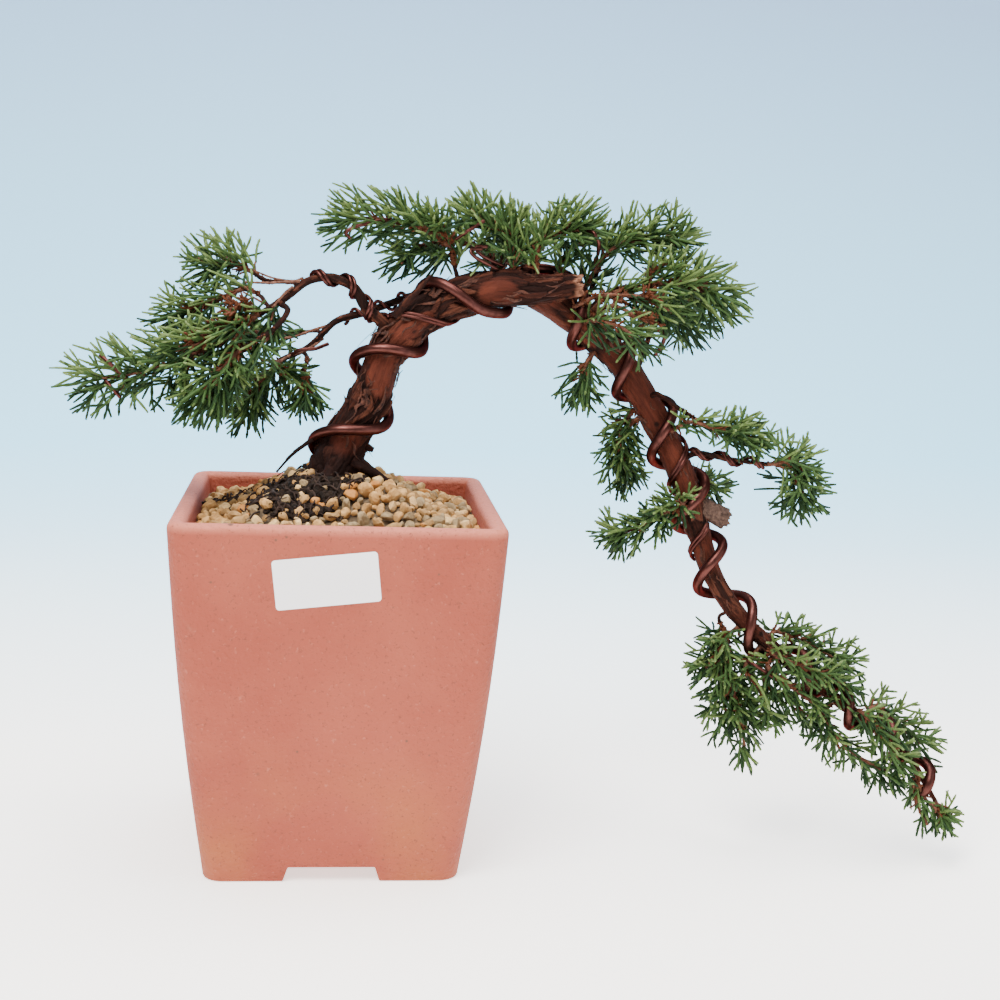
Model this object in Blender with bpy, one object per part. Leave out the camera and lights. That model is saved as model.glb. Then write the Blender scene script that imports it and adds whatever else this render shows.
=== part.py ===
"""A juniper bonsai trained as a cascade and wired with aluminium, in a tall square tapered pot.

Metres, +Z up, the tree's front towards -Y. Routes are measured from the middle of the pot's foot.
The last step moves the whole model so that its origin is at the middle of its base.
"""

import math
import random

import bmesh
import bpy
import numpy as np
from mathutils import Matrix, Vector

# Clearance that neighbouring solids keep.
GAP = 0.0003

# Pot: a square that widens upwards in a slight curve, on four corner feet.
POT_HEIGHT = 0.170
POT_FOOT_HALF = 0.0592
POT_RIM_HALF = 0.0752
POT_BULGE = 0.0020
POT_CORNER = 0.0095
POT_CORNER_STEPS = 4
POT_WALL = 0.0080
POT_LIP = 0.0026
POT_FLOOR_TOP = 0.0170
FOOT_HEIGHT = 0.0072
ARCH_WIDTH_BELOW = 0.0490
ARCH_WIDTH_ABOVE = 0.0400
DRAIN_RADIUS = 0.0120

# Substrate: level at the walls, mounded to a small flat top under the trunk.
SOIL_EDGE = 0.1600
SOIL_TOP = 0.1800
SOIL_FLAT = 0.27
SOIL_ROWS = 20
SOIL_HOLLOW = 0.0030

# Trunk: x, y, z and radius, from the flat cut on the soil to the sawn end of the arch.
TRUNK_ROUTE = [
    (-0.003, 0.000, SOIL_TOP + GAP, 0.0122),
    (0.003, 0.000, 0.200, 0.0103),
    (0.014, 0.000, 0.221, 0.0098),
    (0.022, 0.000, 0.243, 0.0094),
    (0.042, 0.000, 0.262, 0.0088),
    (0.066, 0.000, 0.272, 0.0093),
    (0.087, -0.001, 0.273, 0.0077),
    (0.110, -0.005, 0.276, 0.0044),
]
TRUNK_SPLIT = 3.6
FLARE_LOBES = 5
FLARE_DEPTH = 0.13

# Cascade: the limb that falls from under the arch to the level of the pot's foot.
CASCADE_ROUTE = [
    (0.092, 0.004, 0.271, 0.0074),
    (0.115, 0.011, 0.257, 0.0073),
    (0.137, 0.009, 0.237, 0.0070),
    (0.155, 0.005, 0.209, 0.0067),
    (0.168, 0.000, 0.183, 0.0063),
    (0.176, -0.004, 0.159, 0.0058),
    (0.185, -0.008, 0.135, 0.0046),
    (0.201, -0.013, 0.114, 0.0042),
    (0.232, -0.020, 0.089, 0.0033),
    (0.262, -0.025, 0.068, 0.0026),
    (0.283, -0.029, 0.052, 0.0019),
    (0.298, -0.034, 0.030, 0.0011),
]
CASCADE_SPLITS = (3.0, 6.0)

LIMB_STEPS = 3
TRUNK_SIDES = 12
BOUGH_SIDES = 5
STUB_SIDES = 7

# Sawn side stub on the cascade.
STUB_END = (0.190, -0.003, 0.1655)
STUB_RADII = (0.0052, 0.0046)

# Boughs: name, the limb that carries it, the route after its root, and the radii at root and tip.
BOUGHS = [
    ("bough_left", "trunk",
     [(0.010, -0.005, 0.262), (0.004, -0.008, 0.271), (-0.007, -0.008, 0.275), (-0.017, -0.007, 0.273),
      (-0.027, -0.008, 0.265), (-0.039, -0.010, 0.257)], 0.0027, 0.0014),
    ("bough_left_upper", "bough_left",
     [(-0.024, -0.001, 0.272), (-0.036, 0.003, 0.272), (-0.044, 0.007, 0.276)], 0.0011, 0.0009),
    ("bough_left_middle", "bough_left",
     [(-0.040, -0.004, 0.266), (-0.047, -0.002, 0.268)], 0.0010, 0.0008),
    ("bough_left_lower", "bough_left",
     [(-0.026, -0.013, 0.259), (-0.033, -0.017, 0.250), (-0.047, -0.020, 0.241)], 0.0015, 0.0011),
    ("bough_behind", "trunk",
     [(0.047, 0.013, 0.271), (0.036, 0.018, 0.268), (0.010, 0.019, 0.258), (-0.004, 0.019, 0.253),
      (-0.016, 0.016, 0.241), (-0.030, 0.012, 0.234)], 0.0022, 0.0013),
    ("bough_behind_strand", "bough_behind",
     [(-0.014, 0.023, 0.248), (-0.027, 0.024, 0.246)], 0.0010, 0.0008),
    ("bough_inner", "bough_behind",
     [(-0.017, 0.009, 0.236), (-0.018, 0.007, 0.231)], 0.0010, 0.0008),
    ("bough_crown_left", "trunk",
     [(0.052, 0.004, 0.281), (0.050, 0.006, 0.291)], 0.0011, 0.0009),
    ("bough_crown_middle", "trunk",
     [(0.070, 0.007, 0.286), (0.064, 0.010, 0.291)], 0.0013, 0.0010),
    ("bough_crown_right", "trunk",
     [(0.089, 0.002, 0.286), (0.093, 0.004, 0.293)], 0.0013, 0.0010),
    ("bough_shoulder", "cascade",
     [(0.124, 0.004, 0.270), (0.131, 0.000, 0.275), (0.143, -0.004, 0.276)], 0.0020, 0.0012),
    ("bough_shoulder_high", "cascade",
     [(0.119, 0.017, 0.270), (0.122, 0.015, 0.281), (0.125, 0.012, 0.290)], 0.0014, 0.0010),
    ("bough_shoulder_back", "cascade",
     [(0.147, 0.020, 0.238), (0.151, 0.023, 0.249), (0.155, 0.022, 0.258)], 0.0015, 0.0010),
    ("bough_wired", "cascade",
     [(0.174, -0.004, 0.197), (0.187, -0.007, 0.195), (0.207, -0.009, 0.193)], 0.0015, 0.0011),
    ("bough_outer", "cascade",
     [(0.152, -0.003, 0.225), (0.162, -0.009, 0.219), (0.178, -0.011, 0.209)], 0.0013, 0.0010),
    ("bough_drop", "cascade",
     [(0.188, -0.010, 0.116), (0.192, -0.011, 0.108)], 0.0010, 0.0008),
]

# Thick wire: distance along its guide, turns (a whole number is a crossing at the front) and slack.
WIRE_RADIUS = 0.0026
WIRE_SIDES = 6
WIRE_STEPS_PER_TURN = 12
WIRE_FORK = (0.101, 0.007, 0.268, 0.0084)
WIRE_TURNS = [
    (0.004, 0.55, 0.0010),
    (0.026, 1.00, 0.0006),
    (0.068, 2.00, 0.0004),
    (0.110, 3.00, 0.0004),
    (0.131, 3.25, 0.0006),
    (0.137, 3.58, 0.0010),
    (0.156, 3.70, 0.0022),
    (0.172, 4.00, 0.0006),
    (0.207, 5.00, 0.0006),
    (0.244, 6.00, 0.0006),
    (0.282, 7.00, 0.0006),
    (0.313, 8.00, 0.0016),
    (0.350, 9.00, 0.0016),
    (0.388, 10.0, 0.0010),
    (0.414, 11.0, 0.0010),
    (0.443, 12.0, 0.0010),
    (0.470, 13.0, 0.0010),
    (0.474, 13.2, 0.0010),
]
WIRE_SPLITS = (2.45, 4.45, 8.45)

# Thin wires: name, the bough each winds round, and its first and last station as above.
THIN_WIRE_RADIUS = 0.0009
THIN_WIRE_SIDES = 4
THIN_WIRE_STEPS_PER_TURN = 7
THIN_WIRES = [
    ("thin_wire_left", "bough_left", [(0.005, 0.2, 0.0001), (0.043, 5.0, 0.0001)]),
    ("thin_wire_outer", "bough_wired", [(0.004, 0.0, 0.0001), (0.038, 4.0, 0.0001)]),
]

# Foliage: name, carrying limb, stem route after its root, reach of the mass, lift and shoots.
MASSES = [
    ("left_tip", "bough_left",
     [(-0.058, -0.012, 0.243), (-0.088, -0.011, 0.230), (-0.114, -0.009, 0.224)], 0.022, 0.0, 46),
    ("left_upper", "bough_left_upper",
     [(-0.054, 0.009, 0.279), (-0.066, 0.012, 0.279)], 0.021, 0.2, 24),
    ("left_middle", "bough_left_middle",
     [(-0.060, 0.000, 0.263), (-0.080, 0.004, 0.256)], 0.019, 0.1, 26),
    ("left_lower", "bough_left_lower",
     [(-0.056, -0.022, 0.231), (-0.064, -0.022, 0.220)], 0.020, -0.4, 26),
    ("left_under", "bough_behind",
     [(-0.039, 0.013, 0.224), (-0.046, 0.012, 0.213)], 0.019, -0.4, 24),
    ("left_inner", "bough_inner",
     [(-0.018, 0.006, 0.224), (-0.017, 0.006, 0.218)], 0.015, -0.5, 16),
    ("left_back", "bough_behind_strand",
     [(-0.042, 0.029, 0.246), (-0.062, 0.034, 0.243), (-0.076, 0.036, 0.239)], 0.020, 0.1, 28),
    ("crown_left", "bough_crown_left",
     [(0.036, 0.002, 0.299), (0.014, -0.001, 0.303), (0.001, -0.003, 0.301)], 0.019, 0.2, 30),
    ("crown_middle", "bough_crown_middle",
     [(0.054, 0.014, 0.294), (0.038, 0.017, 0.292), (0.028, 0.014, 0.286)], 0.019, 0.0, 24),
    ("crown_centre", "trunk",
     [(0.080, 0.003, 0.289), (0.074, 0.004, 0.299), (0.060, 0.002, 0.304)], 0.020, 0.3, 28),
    ("crown_right", "bough_crown_right",
     [(0.099, 0.004, 0.299), (0.112, 0.002, 0.302)], 0.019, 0.3, 26),
    ("crown_back", "trunk",
     [(0.076, 0.018, 0.283), (0.080, 0.032, 0.288), (0.085, 0.044, 0.287)], 0.020, 0.2, 28),
    ("shoulder_high", "bough_shoulder_high",
     [(0.134, 0.007, 0.297), (0.155, 0.003, 0.300)], 0.020, 0.25, 30),
    ("shoulder_right", "bough_shoulder",
     [(0.154, -0.010, 0.279), (0.168, -0.009, 0.278), (0.178, -0.007, 0.272)], 0.020, 0.0, 34),
    ("shoulder_back", "bough_shoulder_back",
     [(0.162, 0.025, 0.262), (0.172, 0.030, 0.260)], 0.020, 0.0, 28),
    ("shoulder_front", "cascade",
     [(0.119, -0.014, 0.260), (0.128, -0.022, 0.258), (0.138, -0.024, 0.251)], 0.015, 0.0, 18),
    ("arch_under", "cascade",
     [(0.119, 0.008, 0.240), (0.116, 0.011, 0.230), (0.117, 0.012, 0.225)], 0.016, -0.4, 18),
    ("fall_inner", "cascade",
     [(0.144, 0.012, 0.210), (0.139, 0.016, 0.200), (0.142, 0.017, 0.184)], 0.017, -0.2, 26),
    ("fall_front", "cascade",
     [(0.160, -0.011, 0.169), (0.146, -0.013, 0.162), (0.134, -0.012, 0.157)], 0.016, -0.2, 26),
    ("fall_outer", "bough_outer",
     [(0.187, -0.014, 0.209), (0.200, -0.012, 0.206)], 0.015, 0.1, 20),
    ("fall_hanging", "bough_wired",
     [(0.216, -0.010, 0.194), (0.223, -0.009, 0.192), (0.225, -0.008, 0.178)], 0.019, 0.1, 28),
    ("fall_sprig", "cascade",
     [(0.180, 0.006, 0.181), (0.186, 0.009, 0.179)], 0.013, -0.1, 10),
    ("tail_hanging", "bough_drop",
     [(0.192, -0.012, 0.096), (0.194, -0.014, 0.082), (0.200, -0.015, 0.068)], 0.023, -0.1, 38),
    ("tail_upper", "cascade",
     [(0.217, -0.013, 0.110), (0.236, -0.012, 0.103), (0.252, -0.015, 0.094)], 0.016, 0.1, 24),
    ("tail_back", "cascade",
     [(0.234, -0.012, 0.092), (0.242, 0.000, 0.087), (0.251, 0.006, 0.081)], 0.017, 0.0, 20),
    ("tail_lower", "cascade",
     [(0.267, -0.021, 0.074), (0.282, -0.019, 0.065), (0.292, -0.023, 0.054)], 0.016, 0.1, 20),
    ("tail_under", "cascade",
     [(0.240, -0.026, 0.070), (0.252, -0.032, 0.056), (0.272, -0.035, 0.044)], 0.015, -0.2, 20),
    ("tail_tip", "cascade_tip",
     [(0.299, -0.036, 0.026), (0.301, -0.037, 0.022)], 0.012, -0.1, 12),
]
STEM_RADII = (0.0012, 0.0010)
TWIG_RADII = (0.0006, 0.0006)
SHOOT_LENGTH = 0.0210
SHOOT_WIDTH = 0.0052
SHOOT_BELT = 0.5
SHOOT_FLATNESS = 0.45
ROOT_SHARE = 0.4
SHOOTS_PER_TWIG = 4
TWIG_FIRST = 0.28
TWIG_LAST = 0.96
TWIG_SPLAY = math.radians(60.0)
SHOOT_SPLAY = math.radians(52.0)
GOLDEN_ANGLE = math.radians(137.5)
LOWEST_SHOOT = 0.008
SHOOT_CLEARANCE = 0.0006
TRIES = 8

FRONT = Vector((0.0, -1.0, 0.0))
COLOURS = {
    "terracotta": ((0.62, 0.30, 0.22), 0.75, 0.0),
    "gravel": ((0.50, 0.38, 0.24), 0.95, 0.0),
    "bark": ((0.23, 0.09, 0.05), 0.85, 0.0),
    "sawn_wood": ((0.36, 0.27, 0.20), 0.85, 0.0),
    "wire": ((0.20, 0.07, 0.05), 0.35, 0.9),
    "foliage": ((0.06, 0.18, 0.04), 0.55, 0.0),
}


class Limb:
    """A round limb: its smooth centre line, the radius at each point and a frame that never twists."""

    def __init__(self, route, radii, steps=LIMB_STEPS, foot=None):
        self.points = smooth(route, steps)
        self.radii = [value[0] for value in smooth([(radius, 0.0, 0.0) for radius in radii], steps)]
        self.tangents = tangents_of(self.points)
        if foot is not None:
            self.tangents[0] = foot
        self.fronts = carried_fronts(self.tangents)

    def rights(self):
        """The direction a quarter turn on from the front, at each point."""
        return [tangent.cross(front) for tangent, front in zip(self.tangents, self.fronts)]

    def part(self, first, last):
        """The stretch between two point numbers, its start drawn back by the gap where it is cut."""
        piece = object.__new__(Limb)
        piece.points = [point.copy() for point in self.points[first:last + 1]]
        piece.radii = self.radii[first:last + 1]
        piece.tangents = self.tangents[first:last + 1]
        piece.fronts = self.fronts[first:last + 1]
        if first > 0:
            piece.points[0] += piece.tangents[0] * GAP
        return piece

    def root_for(self, target):
        """The root, just off the bark, and outward direction of what grows from this limb to a target."""
        index = min(range(len(self.points)), key=lambda i: (self.points[i] - target).length)
        outward = target - self.points[index]
        outward -= self.tangents[index] * outward.dot(self.tangents[index])
        outward.normalize()
        return self.points[index] + outward * (self.radii[index] + GAP), outward

    def tip(self):
        """The root, just off the cut end, and outward direction of what grows on from this limb."""
        return self.points[-1] + self.tangents[-1] * GAP, self.tangents[-1]

    def segments(self):
        """Its stretches as (start, end, radius), for tests of clearance."""
        pairs = zip(self.points, self.points[1:], self.radii)
        return [(start, end, radius) for start, end, radius in pairs]


def smooth(route, steps):
    """Points of a smooth curve through a route, with so many steps between each two."""
    knots = [Vector(point) for point in route]
    if len(knots) == 2:
        return knots
    padded = [2 * knots[0] - knots[1]] + knots + [2 * knots[-1] - knots[-2]]
    curve = []
    for before, start, end, after in zip(padded, padded[1:], padded[2:], padded[3:]):
        for step in range(steps):
            t = step / steps
            pull = (end - before) * t
            bend = (2 * before - 5 * start + 4 * end - after) * t ** 2
            turn = (3 * start - before - 3 * end + after) * t ** 3
            curve.append(start + (pull + bend + turn) / 2)
    return curve + [knots[-1]]


def tangents_of(points):
    """The direction of travel at each point of a line."""
    ahead = points[1:] + [2 * points[-1] - points[-2]]
    behind = [2 * points[0] - points[1]] + points[:-1]
    return [(after - before).normalized() for before, after in zip(behind, ahead)]


def carried_fronts(tangents):
    """A sideways direction at each point, carried along the line without twist."""
    front = FRONT if abs(tangents[0].dot(FRONT)) < 0.9 else Vector((0.0, 0.0, 1.0))
    fronts = []
    for tangent in tangents:
        front = (front - tangent * front.dot(tangent)).normalized()
        fronts.append(front)
    return fronts


def material(name):
    """The Principled material of one finish, made on first use."""
    made = bpy.data.materials.get(name)
    if made is None:
        colour, roughness, metallic = COLOURS[name]
        made = bpy.data.materials.new(name)
        made.use_nodes = True
        shader = made.node_tree.nodes["Principled BSDF"]
        shader.inputs["Base Color"].default_value = (*colour, 1.0)
        shader.inputs["Roughness"].default_value = roughness
        shader.inputs["Metallic"].default_value = metallic
    return made


def mesh_object(name, points, faces, finish):
    """An object from points and faces, with its material."""
    mesh = bpy.data.meshes.new(name)
    mesh.from_pydata([tuple(point) for point in points], [], faces)
    mesh.materials.append(material(finish))
    made = bpy.data.objects.new(name, mesh)
    bpy.context.scene.collection.objects.link(made)
    return made


def ringed(name, rings, finish):
    """A closed solid skinned over rings of equal count, capped at both ends."""
    count = len(rings[0])
    points = [point for ring in rings for point in ring]
    faces = [list(range(count))[::-1], [len(points) - count + i for i in range(count)]]
    for level in range(len(rings) - 1):
        low = level * count
        for i in range(count):
            j = (i + 1) % count
            faces.append([low + i, low + j, low + count + j, low + count + i])
    return mesh_object(name, points, faces, finish)


def swept(name, limb, sides, finish, shape=None, grow=0.0):
    """A solid swept along a limb; shape(index, angle) scales the radius where the limb isn't round."""
    rings = []
    for index, (point, front, right) in enumerate(zip(limb.points, limb.fronts, limb.rights())):
        ring = []
        for side in range(sides):
            angle = math.tau * side / sides
            scale = shape(index, angle) if shape else 1.0
            radius = limb.radii[index] * scale + grow
            ring.append(point + (front * math.cos(angle) + right * math.sin(angle)) * radius)
        rings.append(ring)
    return ringed(name, rings, finish)


def shade(made, angle=math.radians(40.0)):
    """Smooth shading with sharp edges kept."""
    made.data.shade_smooth()
    made.data.set_sharp_from_angle(angle=angle)


def boolean(target, operation, other=None, collection=None):
    """Applies one Boolean to an object and removes what it used."""
    modifier = target.modifiers.new("Boolean", "BOOLEAN")
    modifier.operation = operation
    if collection is None:
        modifier.object = other
        used = [other]
    else:
        modifier.operand_type = "COLLECTION"
        modifier.collection = collection
        used = list(collection.objects)
    bpy.context.view_layer.update()
    graph = bpy.context.evaluated_depsgraph_get()
    result = bpy.data.meshes.new_from_object(target.evaluated_get(graph))
    target.modifiers.clear()
    target.data = result
    for spent in used:
        bpy.data.objects.remove(spent)


def rounded_square(half, corner, height):
    """Points of a square with rounded corners, at one height."""
    points = []
    for quarter in range(4):
        start = math.tau * quarter / 4
        turn = Matrix.Rotation(start, 3, "Z")
        middle = turn @ Vector((half - corner, half - corner, 0.0))
        for step in range(POT_CORNER_STEPS + 1):
            angle = start + math.tau / 4 * step / POT_CORNER_STEPS
            offset = Vector((math.cos(angle), math.sin(angle), 0.0)) * corner
            points.append(middle + offset + Vector((0.0, 0.0, height)))
    return points


def pot_half_width(height):
    """Half the pot's outer width at a height."""
    share = height / POT_HEIGHT
    straight = POT_FOOT_HALF + (POT_RIM_HALF - POT_FOOT_HALF) * share
    return straight + POT_BULGE * math.sin(math.pi * share)


def build_pot():
    """The square pot, with a softened lip, four feet between arches, and a drain hole."""
    def outer(height, inset=0.0):
        return rounded_square(pot_half_width(height) - inset, POT_CORNER - inset, height)

    def inner(height, inset=0.0):
        wall = POT_WALL - inset
        return rounded_square(pot_half_width(height) - wall, POT_CORNER - POT_WALL / 2, height)

    lip = POT_LIP
    rings = [outer(0.0, 0.0006), outer(0.0015)]
    rings += [outer(POT_HEIGHT * share) for share in (0.25, 0.5, 0.75)]
    rings += [outer(POT_HEIGHT - lip), outer(POT_HEIGHT - lip * 0.3, lip * 0.3), outer(POT_HEIGHT, lip)]
    rings += [inner(POT_HEIGHT, lip / 2), inner(POT_HEIGHT - lip)]
    rings += [inner(POT_HEIGHT * 0.5), inner(POT_FLOOR_TOP)]
    pot = ringed("pot", rings, "terracotta")
    for turn in (0.0, math.pi / 2):
        boolean(pot, "DIFFERENCE", arch_cutter(turn))
    bpy.ops.mesh.primitive_cylinder_add(vertices=16, radius=DRAIN_RADIUS, depth=4 * POT_FLOOR_TOP)
    boolean(pot, "DIFFERENCE", bpy.context.object)
    shade(pot)


def arch_cutter(turn):
    """The trapezoid bar that opens the arches on two opposite sides of the foot."""
    length = 2 * POT_RIM_HALF
    below = ARCH_WIDTH_BELOW / 2
    above = ARCH_WIDTH_ABOVE / 2
    section = [(-below, -FOOT_HEIGHT), (below, -FOOT_HEIGHT), (below, 0.0), (above, FOOT_HEIGHT),
               (-above, FOOT_HEIGHT), (-below, 0.0)]
    spin = Matrix.Rotation(turn, 3, "Z")
    rings = []
    for end in (length, -length):
        rings.append([spin @ Vector((across, end, height)) for across, height in section])
    cutter = ringed("arch_cutter", rings, "terracotta")
    cutter.hide_render = True
    cutter.display_type = "WIRE"
    return cutter


def soil_height(share):
    """Height of the mound at a share of the way from its middle to the wall."""
    if share <= SOIL_FLAT:
        return SOIL_TOP
    fall = (share - SOIL_FLAT) / (1.0 - SOIL_FLAT)
    return SOIL_TOP - (SOIL_TOP - SOIL_EDGE) * math.sin(fall * math.pi / 2) ** 1.2


def wall_point(across, along, height):
    """A point of the soil's edge against the pot's wall, drawn in where the pot's corner is round."""
    half = pot_half_width(height) - POT_WALL - GAP
    if min(abs(across), abs(along)) > 0.999:
        half -= (POT_CORNER - POT_WALL / 2) * (1.0 - math.sqrt(0.5))
    return Vector((across * half, along * half, height))


def soil_point(row, column, rng):
    """A point of the soil's surface: crests and hollows take turns, as between coarse grains."""
    across = 2.0 * column / (SOIL_ROWS - 1) - 1.0
    along = 2.0 * row / (SOIL_ROWS - 1) - 1.0
    share = max(abs(across), abs(along))
    if share > 0.999:
        return wall_point(across, along, SOIL_EDGE)
    height = soil_height(share)
    if share > SOIL_FLAT:
        dip = rng.uniform(0.6, 1.0) if (row + column) % 2 else rng.uniform(0.0, 0.2)
        height -= dip * SOIL_HOLLOW
    half = pot_half_width(SOIL_EDGE) - POT_WALL - GAP
    return Vector((across * half, along * half, height))


def build_substrate():
    """The gravel that fills the pot and mounds up under the trunk."""
    rng = random.Random(5)
    last = SOIL_ROWS - 1
    points = [soil_point(row, column, rng) for row in range(SOIL_ROWS) for column in range(SOIL_ROWS)]
    faces = []
    for row in range(last):
        for column in range(last):
            corner = row * SOIL_ROWS + column
            faces.append([corner, corner + 1, corner + SOIL_ROWS + 1, corner + SOIL_ROWS])
    edge = [(0, column) for column in range(last)]
    edge += [(row, last) for row in range(last)]
    edge += [(last, column) for column in range(last, 0, -1)]
    edge += [(row, 0) for row in range(last, 0, -1)]
    above = [row * SOIL_ROWS + column for row, column in edge]
    for height in (POT_HEIGHT * 0.5 + GAP, POT_FLOOR_TOP + GAP):
        below = list(range(len(points), len(points) + len(edge)))
        for row, column in edge:
            points.append(wall_point(2.0 * column / last - 1.0, 2.0 * row / last - 1.0, height))
        for i in range(len(edge)):
            j = (i + 1) % len(edge)
            faces.append([above[i], below[i], below[j], above[j]])
        above = below
    faces.append(above[::-1])
    substrate = mesh_object("substrate", points, faces, "gravel")
    shade(substrate)


def bark_shape(flare_points):
    """Radius scale of the trunk: shallow flutes, and root buttresses near the soil."""
    def scale(index, angle):
        flare = FLARE_DEPTH * max(0.0, 1.0 - index / flare_points) if flare_points else 0.0
        return 0.98 + 0.02 * math.cos(4 * angle + index * 0.5) + flare * math.cos(FLARE_LOBES * angle)
    return scale


def build_trunk(trunk, cascade):
    """The trunk in two lengths and the cascade in three, each cut square 0.3 mm from the next."""
    split = round(TRUNK_SPLIT * LIMB_STEPS)
    base = swept("trunk_base", trunk.part(0, split), TRUNK_SIDES, "bark", bark_shape(3))
    arch = swept("trunk_arch", trunk.part(split, len(trunk.points) - 1), TRUNK_SIDES, "bark", bark_shape(0))
    cuts = [0] + [round(knot * LIMB_STEPS) for knot in CASCADE_SPLITS] + [len(cascade.points) - 1]
    names = ("cascade_upper", "cascade_middle", "cascade_lower")
    pieces = []
    for name, first, last in zip(names, cuts, cuts[1:]):
        sides = TRUNK_SIDES if name != "cascade_lower" else TRUNK_SIDES - 4
        pieces.append(swept(name, cascade.part(first, last), sides, "bark", bark_shape(0)))
    saddle = swept("saddle_cutter", trunk, TRUNK_SIDES, "bark", grow=GAP)
    boolean(pieces[0], "DIFFERENCE", saddle)
    end = Vector(STUB_END)
    root, outward = cascade.root_for(end)
    stub = swept("side_stub", Limb([root, end], STUB_RADII, foot=outward), STUB_SIDES, "sawn_wood")
    for piece in [base, arch, stub] + pieces:
        shade(piece)


def build_boughs(limbs):
    """Each bough as one tapering limb, rooted just off the limb that carries it."""
    for name, carrier, route, root_radius, tip_radius in BOUGHS:
        root, outward = limbs[carrier].root_for(Vector(route[0]))
        points = [root] + [Vector(point) for point in route]
        count = len(points)
        radii = [root_radius + (tip_radius - root_radius) * i / (count - 1) for i in range(count)]
        limbs[name] = Limb(points, radii, steps=2, foot=outward)
        shade(swept(name, limbs[name], BOUGH_SIDES, "bark"))


def wire_guide():
    """The line that the thick wire winds round: the trunk to the fork, then the cascade."""
    knots = TRUNK_ROUTE[:-1] + [WIRE_FORK] + CASCADE_ROUTE[1:]
    return Limb([knot[:3] for knot in knots], [knot[3] for knot in knots], steps=8)


def wound(guide, turns, radius, steps_per_turn):
    """A wire wound on a guide: turns lists distance along it, turns from the front, and slack."""
    lengths = [0.0]
    for start, end in zip(guide.points, guide.points[1:]):
        lengths.append(lengths[-1] + (end - start).length)
    knots = smooth(turns, 6)
    distances, angles, slacks = zip(*knots)
    count = round((angles[-1] - angles[0]) * steps_per_turn)
    samples = np.linspace(angles[0], angles[-1], count + 1)
    stations = np.interp(samples, angles, distances)
    rights = guide.rights()

    def along(values, station):
        return Vector([np.interp(station, lengths, [value[axis] for value in values]) for axis in range(3)])

    route = []
    for turn, station in zip(samples, stations):
        front = along(guide.fronts, station)
        right = along(rights, station)
        bark = np.interp(station, lengths, guide.radii)
        reach = (bark + radius + GAP) / math.cos(math.pi / steps_per_turn)
        reach += np.interp(turn, angles, slacks)
        angle = math.tau * turn
        outward = (front * math.cos(angle) + right * math.sin(angle)).normalized()
        route.append(along(guide.points, station) + outward * reach)
    return Limb(route, [radius] * len(route), steps=1), samples


def build_thick_wire():
    """The thick wire in four lengths that meet end to end, returned as stretches to keep clear of."""
    wire, samples = wound(wire_guide(), WIRE_TURNS, WIRE_RADIUS, WIRE_STEPS_PER_TURN)
    cuts = [0] + [int(np.searchsorted(samples, split)) for split in WIRE_SPLITS] + [len(samples) - 1]
    for name, first, last in zip(("wire_rise", "wire_arch", "wire_fall", "wire_tail"), cuts, cuts[1:]):
        shade(swept(name, wire.part(first, last), WIRE_SIDES, "wire"))
    return wire


def build_thin_wires(limbs):
    """The thin wires, each wound on its bough."""
    wires = []
    for name, carrier, turns in THIN_WIRES:
        wire, _ = wound(limbs[carrier], turns, THIN_WIRE_RADIUS, THIN_WIRE_STEPS_PER_TURN)
        shade(swept(name, wire, THIN_WIRE_SIDES, "wire"))
        wires.append(wire)
    return wires


class Obstacles:
    """Stretches of wood, wire and foliage, each with its owner, that new growth keeps clear of."""

    def __init__(self):
        self.starts, self.ends, self.radii, self.owners, self.shoots = [], [], [], [], []

    def add(self, start, end, radius, owner, shoot=False):
        """Notes one round stretch."""
        self.starts.append(tuple(start))
        self.ends.append(tuple(end))
        self.radii.append(radius)
        self.owners.append(owner)
        self.shoots.append(shoot)

    def clear(self, start, end, radius, owner):
        """Whether a tapering stretch keeps clear of all but the wood of its own mass.

        Past its root it also keeps clear of the other shoots of its own mass.
        """
        starts, ends = np.array(self.starts), np.array(self.ends)
        shares = np.linspace(0.0, 1.0, 12)[:, None]
        samples = np.array(start) + (np.array(end) - np.array(start)) * shares
        spans = ends - starts
        offsets = samples[:, None, :] - starts[None, :, :]
        along = (offsets * spans).sum(axis=2) / np.maximum((spans ** 2).sum(axis=1), 1e-12)
        nearest = starts + np.clip(along, 0.0, 1.0)[:, :, None] * spans
        distances = np.linalg.norm(samples[:, None, :] - nearest, axis=2) - np.array(self.radii)
        needed = radius * (1.0 - 0.6 * shares)
        own = np.array(self.owners) == owner
        beside = own & np.array(self.shoots)
        outer = shares[:, 0] > ROOT_SHARE
        free = (distances[:, ~own] > needed + SHOOT_CLEARANCE).all()
        return bool(free and (distances[outer][:, beside] > needed[outer] * 0.5).all())


def turned(direction, splay, roll):
    """A direction leaned away from the given one by splay, at roll round it."""
    side = direction.orthogonal().normalized()
    side.rotate(Matrix.Rotation(roll, 3, direction))
    return (direction * math.cos(splay) + side * math.sin(splay)).normalized()


def shoot_mesh(name, start, direction, length):
    """A shoot of eight faces: a slim flattened spindle, widest at its belt."""
    across = direction.orthogonal().normalized()
    other = direction.cross(across)
    belt = start + direction * length * SHOOT_BELT
    half = SHOOT_WIDTH / 2
    points = [start, start + direction * length]
    thin = half * SHOOT_FLATNESS
    points += [belt + across * half, belt + other * thin, belt - across * half, belt - other * thin]
    faces = []
    for i in range(4):
        j = (i + 1) % 4
        faces += [[0, 2 + j, 2 + i], [1, 2 + i, 2 + j]]
    return mesh_object(name, points, faces, "foliage")


def twig_mesh(name, points, radii, foot=None):
    """A three-sided twig along a line, tapering between two radii."""
    count = len(points)
    spread = [radii[0] + (radii[1] - radii[0]) * i / (count - 1) for i in range(count)]
    return swept(name, Limb(points, spread, steps=1, foot=foot), 3, "foliage")


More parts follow.
